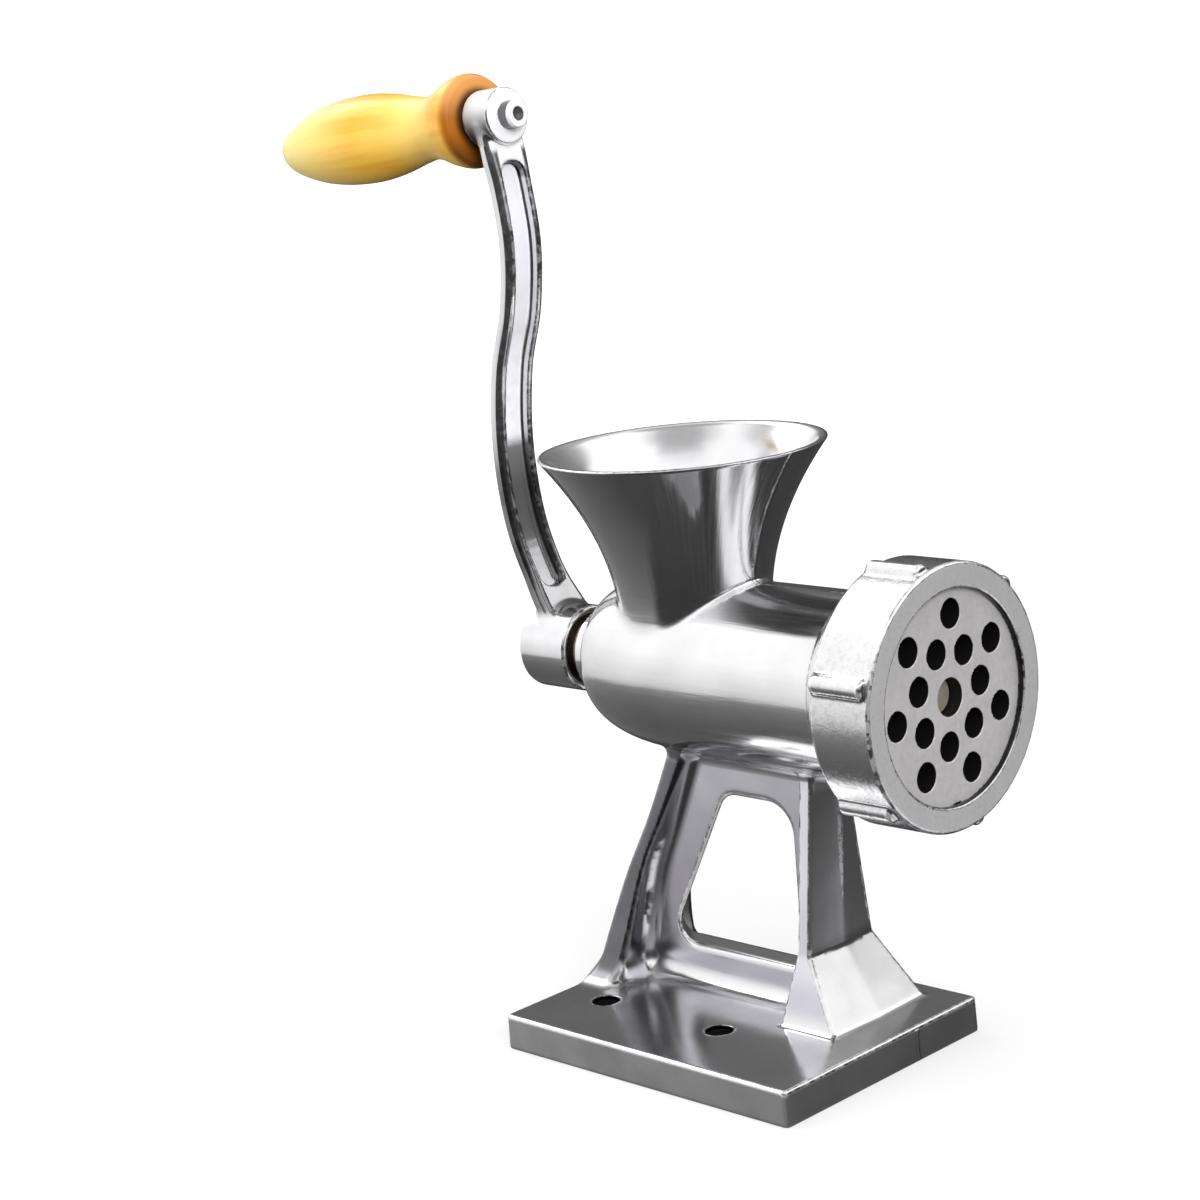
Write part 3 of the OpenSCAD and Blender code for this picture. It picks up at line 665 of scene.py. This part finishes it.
    # line left by the mould on the middle plane, and the slow waves of hand polishing
    rag = m.math("MULTIPLY_ADD", m.noise(m.co, 260.0, 3.0, 0.6), 0.0016, -0.0008)
    seam = m.math("MULTIPLY", m.ramp(m.math("ABSOLUTE", m.math("ADD", y, rag)), 0.0004, 0.0011, 1.0, 0.0), m.math("MAXIMUM", side, m.math("MULTIPLY", m.band(z, 0.148, 0.1955, 0.002), m.ramp(inside, 0.2, 0.6, 1.0, 0.0))))
    nn = m.bump(seam, 0.8, 0.0009)
    nn = m.bump(m.noise(m.co, 42.0, 1.5, 0.45), 0.05, 0.004, nn)
    nn = m.bump(m.math("MULTIPLY", lines, polish), 0.065, 0.0006, nn)
    m.set(Normal=nn)
    return m


def crank_finish():
    m = Mat("polished_crank", 1.0)
    x, y, z = m.xyz(m.co)
    nx, ny, nz = m.xyz(m.nrm)
    big = m.noise(m.co, 55.0, 4.0, 0.6)
    fine = m.noise(m.co, 1400.0, 2.0, 0.5)
    cloud = m.ramp(big, 0.3, 0.72)
    floor_ = m.math("MULTIPLY", m.ramp(m.math("ABSOLUTE", y), 0.0040, 0.0050, 1.0, 0.0), m.math("MULTIPLY", m.ramp(nx, 0.75, 0.93), m.band(z, 0.146, 0.2915, 0.0015)))
    upper = m.ramp(z, 0.190, 0.198)
    satin = m.math("MAXIMUM", m.math("MULTIPLY", floor_, upper), m.math("MULTIPLY", m.math("MULTIPLY", m.ramp(nx, 0.72, 0.90), m.math("MAXIMUM", m.ramp(z, 0.2935, 0.2965), m.ramp(m.math("ABSOLUTE", y), 0.0048, 0.0062, 1.0, 0.0))), m.ramp(z, 0.287, 0.2895)))
    round_ = m.math("MULTIPLY", m.ramp(z, 0.2960, 0.2975), m.ramp(nx, 0.22, 0.45, 1.0, 0.0))
    satin = m.math("MAXIMUM", satin, m.math("MULTIPLY", round_, 0.85))
    # painted shade: the lower arm darkened, less on its front faces
    lower_arm_shade = m.math("MULTIPLY", m.ramp(z, 0.176, 0.206, 1.0, 0.0), m.math("MULTIPLY", m.ramp(z, 0.1345, 0.139), m.ramp(nx, 0.55, 0.85, 1.0, 0.45)))
    col = m.mix(cloud, (0.74, 0.74, 0.755), (0.84, 0.84, 0.85))
    col = m.mix(m.math("MULTIPLY", lower_arm_shade, m.ramp(big, 0.3, 0.6, 0.96, 0.82)), col, (0.10, 0.10, 0.103))
    tone = m.mix(m.ramp(z, 0.215, 0.270), (0.97, 0.955, 1.0), (0.77, 0.755, 0.82))
    tone = m.mix(m.ramp(z, 0.284, 0.296), tone, (0.86, 0.86, 0.87))
    col = m.mix(satin, col, m.mix(m.ramp(cloud, 0.0, 1.0, 0.35, 1.0), (0.70, 0.695, 0.73), tone))
    col = m.mix(m.math("MULTIPLY", round_, 0.75), col, (0.62, 0.62, 0.63))
    # painted shade: the boss's round side darkens towards its underside
    col = m.mix(m.math("MULTIPLY", round_, m.ramp(nz, -0.55, 0.55, 1.0, 0.0)), col, (0.060, 0.060, 0.063))
    # painted shade in the top end of the channel
    recess_shade = m.math("MULTIPLY", m.band(z, 0.2850, 0.2915, 0.0008), m.math("MULTIPLY", m.ramp(nx, 0.80, 0.95, 1.0, 0.0), m.ramp(m.math("ABSOLUTE", y), 0.0046, 0.0056, 1.0, 0.0)))
    col = m.mix(recess_shade, col, (0.10, 0.10, 0.105))
    # rubbed edges: partly real wear, partly a painted highlight
    wear_and_highlight = m.math("MULTIPLY", m.worn_highlight(0.25, 0.6, 420.0, 0.44, 0.60), 0.6)
    col = m.mix(wear_and_highlight, col, (0.82, 0.82, 0.83))
    m.set(Base_Color=col, Metallic=m.math("SUBTRACT", 1.0, m.math("MAXIMUM", m.math("MAXIMUM", m.math("MULTIPLY", satin, 0.97), m.math("MULTIPLY", wear_and_highlight, 0.35)), m.math("MULTIPLY", floor_, 0.20))))
    r = m.math("ADD", m.ramp(big, 0.25, 0.75, 0.15, 0.09), m.math("MULTIPLY", satin, 0.28))
    m.set(Roughness=r)
    m.set(Normal=m.bump(m.noise(m.co, 60.0, 1.5, 0.45), 0.06, 0.003, m.bump(fine, 0.02, 0.0004)))
    return m


def spindle_finish():
    m = Mat("spindle_end", 1.0)
    x, y, z = m.xyz(m.co)
    nx, ny, nz = m.xyz(m.nrm)
    big = m.noise(m.co, 300.0, 3.0, 0.5)
    v = m.math("SUBTRACT", z, m.math("MULTIPLY_ADD", m.math("ADD", x, 0.0928), math.tan(DROOP), 0.3056))
    rad = m.math("SQRT", m.math("ADD", m.math("MULTIPLY", y, y), m.math("MULTIPLY", v, v)))
    front = m.math("MULTIPLY", m.ramp(x, -0.0826, -0.0822), m.ramp(rad, 0.0022, 0.0026))
    # painted shade in the centre dimple of the stub
    pit_shade = m.math("MULTIPLY", m.ramp(x, -0.0850, -0.0848), m.ramp(rad, 0.0022, 0.0026, 1.0, 0.0))
    col = m.mix(m.ramp(big, 0.3, 0.7), (0.66, 0.66, 0.67), (0.78, 0.78, 0.79))
    # painted shade: the stub's round side dark
    col = m.mix(m.ramp(nx, 0.45, 0.75, 0.92, 0.0), col, (0.11, 0.11, 0.114))
    col = m.mix(front, col, (0.80, 0.80, 0.81))
    col = m.mix(pit_shade, col, (0.065, 0.065, 0.063))
    m.set(Base_Color=col, Metallic=m.math("SUBTRACT", 1.0, m.math("MULTIPLY", m.math("MAXIMUM", front, pit_shade), 0.9)))
    m.set(Roughness=m.math("ADD", m.ramp(big, 0.25, 0.75, 0.28, 0.20), m.math("MULTIPLY", front, 0.2)))
    m.set(Normal=m.bump(big, 0.05, 0.0004))
    return m


def ring_finish():
    m = Mat("turned_ring", 1.0)
    x, y, z = m.xyz(m.co)
    nx, ny, nz = m.xyz(m.nrm)
    v = m.math("SUBTRACT", z, AXIS / 1000.0)
    rad = m.math("SQRT", m.math("ADD", m.math("MULTIPLY", y, y), m.math("MULTIPLY", v, v)))
    big = m.noise(m.co, 60.0, 4.0, 0.6)
    fine = m.noise(m.co, 1500.0, 2.0, 0.5)
    cloud = m.ramp(big, 0.3, 0.72)
    face = m.math("MULTIPLY", m.ramp(nx, 0.965, 0.995), m.ramp(x, 0.0868, 0.0874))
    # painted shade: the inner wall of the ring's opening near-black
    bore = m.math("MULTIPLY", m.ramp(rad, 0.0343, 0.0348, 1.0, 0.0), m.ramp(x, 0.0876, 0.0880, 1.0, 0.0))
    col = m.mix(cloud, (0.76, 0.76, 0.77), (0.85, 0.85, 0.86))
    col = m.mix(face, col, m.mix(cloud, (0.78, 0.77, 0.775), (0.86, 0.85, 0.855)))
    mottle = m.noise(m.co, 560.0, 4.0, 0.65)
    col = m.mix(m.ramp(mottle, 0.45, 0.70, 0.0, 0.32), col, (0.50, 0.50, 0.505))
    # rubbed edges: partly real wear, partly a painted highlight
    wear_and_highlight = m.worn_highlight(0.25, 0.6, 380.0, 0.40, 0.56)
    col = m.mix(m.math("MULTIPLY", wear_and_highlight, 0.7), col, (0.88, 0.88, 0.885))
    col = m.mix(bore, col, (0.03, 0.03, 0.031))
    m.set(Base_Color=col, Metallic=m.math("SUBTRACT", 1.0, m.math("MAXIMUM", m.math("MULTIPLY", face, 0.32), m.math("MULTIPLY", wear_and_highlight, 0.25))))
    m.set(Roughness=m.math("ADD", m.math("ADD", m.ramp(big, 0.25, 0.75, 0.18, 0.12), m.ramp(mottle, 0.4, 0.7, 0.0, 0.12)), m.math("MULTIPLY", face, 0.26)))
    # circles left by turning
    k = m.math("SINE", m.math("MULTIPLY", rad, 9000.0))
    m.set(Normal=m.bump(k, 0.03, 0.0003, m.bump(mottle, 0.07, 0.0010, m.bump(fine, 0.06, 0.0004))))
    return m


def plate_finish():
    m = Mat("ground_plate", 0.5)
    x, y, z = m.xyz(m.co)
    nx, ny, nz = m.xyz(m.nrm)
    big = m.noise(m.co, 70.0, 4.0, 0.6)
    fine = m.noise(m.co, 1600.0, 3.0, 0.6)
    cloud = m.ramp(big, 0.3, 0.72)
    # painted shade: the walls of the plate's holes near-black
    wall = m.math("MULTIPLY", m.ramp(m.math("ABSOLUTE", nx), 0.45, 0.8, 1.0, 0.0), m.ramp(x, 0.0852, 0.0856, 1.0, 0.0))
    col = m.mix(cloud, (0.60, 0.585, 0.58), (0.71, 0.69, 0.685))
    col = m.mix(m.ramp(m.noise(m.co, 420.0, 4.0, 0.65), 0.45, 0.70, 0.0, 0.28), col, (0.42, 0.41, 0.405))
    col = m.mix(m.ramp(fine, 0.55, 0.75, 0.0, 0.25), col, (0.36, 0.35, 0.35))
    col = m.mix(wall, col, (0.012, 0.011, 0.011))
    m.set(Base_Color=col, Roughness=m.ramp(big, 0.3, 0.7, 0.52, 0.42))
    m.set(Normal=m.bump(fine, 0.15, 0.0004))
    return m


def wood_finish():
    m = Mat("varnished_wood", 0.0)
    x, y, z = m.xyz(m.co)
    rings = m.noise(m.co, 1.0, 3.0, 0.55, stretch=(120.0, 200.0, 9.0))
    pores = m.noise(m.co, 1.0, 2.0, 0.6, stretch=(1500.0, 1500.0, 60.0))
    big = m.noise(m.co, 30.0, 2.0, 0.5)
    col = m.mix(m.ramp(rings, 0.36, 0.66), (0.70, 0.300, 0.004), (0.84, 0.475, 0.050))
    col = m.mix(m.ramp(pores, 0.62, 0.78, 0.0, 0.25), col, (0.50, 0.22, 0.02))
    col = m.mix(m.ramp(big, 0.3, 0.7, 0.0, 0.45), col, (0.90, 0.62, 0.150))
    # painted light: the grip pales towards its tip, and over a band at its neck
    col = m.mix(m.ramp(z, 0.050, 0.092, 0.0, 0.85), col, (0.96, 0.76, 0.25))
    col = m.mix(m.band(z, 0.012, 0.034, 0.008), col, m.mix(0.60, col, (0.93, 0.64, 0.17)))
    col = m.mix(m.ramp(z, 0.0965, 0.1005, 0.0, 0.8), col, (0.40, 0.17, 0.014))
    rad = m.math("SQRT", m.math("ADD", m.math("MULTIPLY", x, x), m.math("MULTIPLY", y, y)))
    face = m.ramp(z, 0.0012, 0.0050, 1.0, 0.0)
    # flange end face: a stained tone, with painted shade darker on its lower side and as a shadow round the boss, and
    # painted light paler on its upper side
    end_stain_and_shade = m.mix(m.ramp(big, 0.35, 0.65), (0.32, 0.094, 0.006), (0.48, 0.158, 0.012))
    end_stain_and_shade = m.mix(m.ramp(y, -0.012, 0.0, 0.8, 0.0), end_stain_and_shade, (0.085, 0.024, 0.003))
    end_stain_and_shade = m.mix(m.ramp(y, 0.000, 0.012, 0.0, 0.85), end_stain_and_shade, (0.62, 0.28, 0.075))
    end_stain_and_shade = m.mix(m.ramp(rad, 0.0090, 0.0125, 1.0, 0.0), end_stain_and_shade, (0.06, 0.02, 0.004))
    col = m.mix(face, col, end_stain_and_shade)
    m.set(Base_Color=col)
    m.set(Roughness=m.ramp(rings, 0.3, 0.7, 0.44, 0.36))
    m.b.inputs["Specular IOR Level"].default_value = 0.15
    m.b.inputs["Coat Weight"].default_value = 0.6
    m.b.inputs["Coat Roughness"].default_value = 0.30
    m.set(Normal=m.bump(pores, 0.10, 0.0004, m.bump(rings, 0.04, 0.001)))
    return m


# ---------------------------------------------------------------- pieces
bodies = frame["bodies"]
nodes = frame["nodes"]

body_fine = ([(-68, 52.5, 1.22), (-63.8, -60.8, 0.75), (60.8, 63.8, 0.75)], [(-66, 50, 1.5), (-25, 25, 1.14), (-65, -62, 0.75), (29.6, 32.6, 0.75)],
             [(-0.9, 2, 0.7), (10, 13, 0.6), (13, 104, 1.18), (104, 156, 1.5), (190, 198.2, 0.6)])
casting = sdf_object("casting_skin", body, (-68, -66, -1.6), (85, 50.5, 199), 2.0, body_fine, nrm_e=0.5)
crank_piece = sdf_object("crank_skin", crank, (-106, -16, 107), (-66, 16, 319), 0.85)
ring_piece = sdf_object("ring_skin", ring, (63.5, -46.5, 77), (89.6, 46.5, 170), 0.8)
plate_piece = sdf_object("plate_skin", plate, (76.6, -36, 87.5), (86.6, 36, 159.5), 0.8, nrm_e=0.15)
auger_piece = sdf_object("screw_skin", auger, (-48, -26.2, 97.5), (71.5, 26.2, 149.5), 1.0)
clamp_piece = sdf_object("clamp_screw_skin", clamp_screw, (-99, -8, 115.5), (-65, 8, 131.5), 0.5, nrm_e=0.15)
spindle_piece = sdf_object("spindle_skin", spindle, (-202, -6, 291), (-79.5, 6, 312), 0.55, nrm_e=0.15)

GRIP = spline([[14.7, 0], [16, 2.8], [15.8, 6], [14.4, 11], [12, 17.5], [10.9, 24.5], [12, 32.6], [13.9, 42.1], [15.2, 51.7], [15.5, 60.2], [15, 70.7], [13.5, 81.2], [11, 90.7], [8.6, 97.3], [6.9, 100.4]], 6)
grip_profile = [[4.08, 0.3], [4.6, 0.0], [9, 0.0], [14.0, 0.0]] + [list(q) for q in GRIP[1:]] + [[6.5, 100.9], [6.1, 100.9], [5.7, 100.4], [5.7, 96], [5.7, 92.0], [4.08, 92.0], [4.08, 60.0], [4.08, 30.0]]
grip_piece = lathe_object("grip_turning", grip_profile, 128)
start = BOSS + GRIP_DIR * (6.4 + 1.2)
grip_piece.matrix_world = Matrix.Translation(Vector(start / 1000.0)) @ Vector(GRIP_DIR).to_track_quat("Z", "Y").to_matrix().to_4x4()

for piece, node, rider, slot in [
    (casting, "body_casting", "casting", "cast_aluminium"),
    (crank_piece, "crank_arm", "crank", "crank_aluminium"),
    (ring_piece, "ring_nut", "ring", "ring_aluminium"),
    (plate_piece, "grinding_plate", "plate", "plate_steel"),
    (auger_piece, "feed_screw", "crank", "screw_aluminium"),
    (clamp_piece, "crank_screw", "crank", "screw_steel"),
    (spindle_piece, "handle_spindle", "crank", "spindle_steel"),
    (grip_piece, "handle_grip", "grip", "grip_wood"),
]:
    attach(piece, rider)
    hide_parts(node)

polished = casting_finish()
crank_metal = crank_finish()
ring_metal = ring_finish()
plate_metal = plate_finish()
screw_metal = metal("screw_casting", (0.72, 0.72, 0.73), (0.60, 0.60, 0.61), 0.30, 0.42, grain=800.0, grain_bump=0.15)
zinc = metal("zinc_plate", (0.66, 0.66, 0.67), (0.56, 0.56, 0.575), 0.24, 0.34, grain_bump=0.06)
bright_steel = metal("turned_steel", (0.76, 0.76, 0.77), (0.64, 0.64, 0.65), 0.20, 0.30, brushed=(2500.0, 60.0, 60.0), brush_bump=0.05)
brown_steel = metal("browned_steel", (0.66, 0.57, 0.46), (0.50, 0.42, 0.34), 0.40, 0.52, brushed=(2500.0, 80.0, 80.0), brush_bump=0.06)
brown_steel.set(Metallic=0.25)
stud_steel = metal("stud_steel", (0.31, 0.275, 0.235), (0.22, 0.195, 0.165), 0.40, 0.52, brushed=(2500.0, 80.0, 80.0), brush_bump=0.06)
stud_steel.set(Metallic=0.25)
# painted shade: the knife made near-black, as it sits in shade behind the plate
knife_painted_dark = metal("ground_knife", (0.16, 0.15, 0.15), (0.09, 0.085, 0.085), 0.34, 0.44, brushed=(60.0, 1800.0, 60.0), brush_bump=0.06)
brass = metal("bush_brass", (0.30, 0.25, 0.19), (0.19, 0.16, 0.125), 0.34, 0.46, brushed=(2600.0, 80.0, 80.0), brush_bump=0.06)
fibre = Mat("pressed_fibre", 0.0)
fl = fibre.noise(fibre.co, 700.0, 4.0, 0.6)
fibre.set(Base_Color=fibre.mix(fibre.ramp(fl, 0.3, 0.7), (0.16, 0.065, 0.03), (0.28, 0.12, 0.055)), Roughness=fibre.ramp(fl, 0.3, 0.7, 0.75, 0.6), Normal=fibre.bump(fl, 0.3, 0.0005))
wood = wood_finish()
spindle_metal = spindle_finish()


def give(ob, mat):
    ob.data.materials.clear()
    ob.data.materials.append(mat.m)


for ob, mat in [(casting, polished), (crank_piece, crank_metal), (ring_piece, ring_metal), (plate_piece, plate_metal), (auger_piece, screw_metal),
                (clamp_piece, zinc), (spindle_piece, spindle_metal), (grip_piece, wood)]:
    give(ob, mat)
for name, mat in {"body_casting": polished, "rear_bush": brass, "fibre_washer": fibre, "thrust_washer": zinc, "feed_screw": screw_metal, "drive_shank": brown_steel, "shank_pin": bright_steel,
                  "knife_stud": stud_steel, "cutter_knife": knife_painted_dark, "grinding_plate": plate_metal, "plate_key": bright_steel, "ring_nut": ring_metal, "crank_arm": crank_metal,
                  "crank_washer": zinc, "crank_screw": zinc, "handle_grip": wood, "handle_spindle": spindle_metal, "handle_thrust_washer": zinc, "handle_end_washer": zinc}.items():
    slots = nodes[name].material_slots
    for s in slots:
        s.material = mat.m
    if not slots:
        nodes[name].data.materials.append(mat.m)

# ---------------------------------------------------------------- stage: pale floor that runs up into a round backdrop
prof = [[0.0, 0.0], [0.6, 0.0], [1.5, 0.0], [3.0, 0.0]] + [[3.0 + 1.6 * math.sin(t), 1.6 - 1.6 * math.cos(t)] for t in np.linspace(0.15, math.pi / 2, 9)] + [[4.6, 3.0]]
seg = 72
fv = [[0.0, 0.0, 0.0]] + [[r * math.cos(2 * math.pi * k / seg), r * math.sin(2 * math.pi * k / seg), h] for r, h in prof[1:] for k in range(seg)]
ff = [[0, 1 + k, 1 + (k + 1) % seg] for k in range(seg)]
for j in range(len(prof) - 2):
    ff += [[1 + j * seg + k, 1 + (j + 1) * seg + k, 1 + (j + 1) * seg + (k + 1) % seg, 1 + j * seg + (k + 1) % seg] for k in range(seg)]
me = bpy.data.meshes.new("floor")
me.from_pydata(fv, [], ff)
me.polygons.foreach_set("use_smooth", [True] * len(me.polygons))
floor = bpy.data.objects.new("floor", me)
bpy.context.scene.collection.objects.link(floor)
fm = Mat("pale_floor", 0.0)
fm.set(Base_Color=fm.mix(fm.noise(fm.co, 3.0, 2.0, 0.5), (0.30, 0.30, 0.30), (0.31, 0.31, 0.31)), Roughness=0.9)
fm.b.inputs["Specular IOR Level"].default_value = 0.0
fm.b.inputs["Emission Color"].default_value = (1.0, 1.0, 1.0, 1.0)
fx, fy, fz = fm.xyz(fm.co)
away = fm.math("SQRT", fm.math("ADD", fm.math("MULTIPLY", fx, fx), fm.math("MULTIPLY", fy, fy)))
fm.set(Emission_Strength=fm.ramp(away, 0.25, 1.4, 0.57, 1.0))
give(floor, fm)
floor.visible_glossy = False
floor.visible_shadow = False
floor.visible_diffuse = False

# ---------------------------------------------------------------- light: a studio of soft panels
world = bpy.data.worlds.new("studio")
bpy.context.scene.world = world
world.use_nodes = True
w = Nodes(world.node_tree)
bg = world.node_tree.nodes["Background"]
co = w.n("ShaderNodeTexCoord").outputs["Generated"]
dx, dy, dz = w.xyz(co)
DEG = math.pi / 180
el = w.math("ARCSINE", dz)


def zone(val, az, half, soft, lo, hi, esoft, col):
    """soft-edged panel of the studio: centre azimuth, half width, and elevations, in degrees"""
    rot = w.n("ShaderNodeVectorRotate", rotation_type="Z_AXIS")
    w.put(rot.inputs["Vector"], co)
    rot.inputs["Angle"].default_value = -az * DEG
    rx, ry, rz = w.xyz(rot.outputs[0])
    a = w.math("ABSOLUTE", w.math("ARCTAN2", ry, rx))
    f = w.math("MULTIPLY", w.ramp(a, (half - soft) * DEG, (half + soft) * DEG, 1.0, 0.0), w.band(el, lo * DEG, hi * DEG, esoft * DEG))
    return w.mix(f, val, col)


def shades(stops):
    """grey by elevation in degrees"""
    k = w.n("ShaderNodeValToRGB")
    w.put(k.inputs[0], w.math("MULTIPLY_ADD", el, 1 / math.pi, 0.5))
    while len(k.color_ramp.elements) < len(stops):
        k.color_ramp.elements.new(0.5)
    for e, (p_, v_) in zip(k.color_ramp.elements, stops):
        e.position = p_ / 180.0 + 0.5
        e.color = (v_, v_, v_, 1)
    return k.outputs[0]


val = shades([(-90, 0.07), (-30, 0.045), (0, 0.05), (15, 0.09), (24, 0.35), (33, 1.05), (46, 1.2), (90, 1.25)])
far = shades([(-90, 0.05), (-30, 0.05), (0, 0.07), (12, 0.115), (24, 0.16), (36, 0.36), (46, 0.46), (62, 1.0), (90, 1.25)])
left = shades([(-90, 0.05), (-60, 0.065), (-42, 0.115), (-28, 0.165), (-17.5, 0.25), (-15, 0.70), (-8, 0.88), (4, 1.02), (16, 1.18), (90, 1.3)])
val = zone(val, 122, 48, 10, -95, 95, 2, far)                              # dim far side, seen in the base
val = zone(val, -160, 50, 7, -95, 95, 2, left)                             # bright wall on the left above a dark table
val = zone(val, 31, 23, 8, -62, -25, 4, (0.74, 0.73, 0.78))                # bright low right
val = zone(val, 36, 40, 7, 20, 95, 3, (1.35, 1.35, 1.35))                  # panel high right
val = zone(val, -44, 38, 8, 57, 95, 5, (0.58, 0.58, 0.59))                 # greyer patch overhead
val = zone(val, 176, 20, 8, 30, 52, 4, (4.0, 4.0, 4.0))                    # soft box high left
val = zone(val, -4, 15, 5, 3, 22, 3, (0.42, 0.41, 0.43))                   # grey wall in front, mirrored twice on top of the barrel
val = zone(val, 0, 185, 2, 69, 130, 4, (0.35, 0.35, 0.35))                 # open ceiling right above
w.put(bg.inputs["Color"], val)
bg.inputs["Strength"].default_value = 1.0

lamp = bpy.data.lights.new("overhead", "AREA")
lamp.shape = "DISK"
lamp.size = 2.2
lamp.energy = 26.0
over = bpy.data.objects.new("overhead", lamp)
over.location = (-0.2, -0.3, 2.4)
over.visible_glossy = False
bpy.context.scene.collection.objects.link(over)

fill = bpy.data.lights.new("fill", "AREA")
fill.shape = "DISK"
fill.size = 1.6
fill.energy = 64.0
front = bpy.data.objects.new("fill", fill)
front.location = (1.95, -1.10, 1.0)
front.rotation_euler = (Vector((-0.06, 0.0, 0.2)) - Vector(front.location)).to_track_quat("-Z", "Y").to_euler()
front.visible_glossy = False
bpy.context.scene.collection.objects.link(front)

soft = bpy.data.lights.new("side_fill", "AREA")
soft.shape = "DISK"
soft.size = 1.4
soft.energy = 24.0
beside = bpy.data.objects.new("side_fill", soft)
beside.location = (-1.55, -1.65, -0.35)
beside.rotation_euler = (Vector((-0.06, 0.0, 0.2)) - Vector(beside.location)).to_track_quat("-Z", "Y").to_euler()
beside.visible_glossy = False
bpy.context.scene.collection.objects.link(beside)

# ---------------------------------------------------------------- camera
az, elv, roll = (math.radians(v) for v in (46.264, 12.108, -5.481))
back = np.array([math.sin(az) * math.cos(elv), -math.cos(az) * math.cos(elv), math.sin(elv)])
right = np.array([math.cos(az), math.sin(az), 0.0])
up = np.cross(back, right)
r2 = right * math.cos(roll) + up * math.sin(roll)
u2 = -right * math.sin(roll) + up * math.cos(roll)
eye = (np.array([-64.355, 0.0, 140.961]) + back * 951.657) / 1000.0
cam_data = bpy.data.cameras.new("camera")
cam = bpy.data.objects.new("camera", cam_data)
bpy.context.scene.collection.objects.link(cam)
cam.matrix_world = Matrix(((r2[0], u2[0], back[0], eye[0]), (r2[1], u2[1], back[1], eye[1]), (r2[2], u2[2], back[2], eye[2]), (0, 0, 0, 1)))
cam_data.sensor_fit = "HORIZONTAL"
cam_data.sensor_width = 36.0
cam_data.lens = 36.0 * 2781.783 / 1200.0
cam_data.clip_start = 0.05
cam_data.clip_end = 50.0
bpy.context.scene.camera = cam
bpy.context.scene.view_settings.view_transform = "Standard"
bpy.context.scene.view_settings.look = "None"
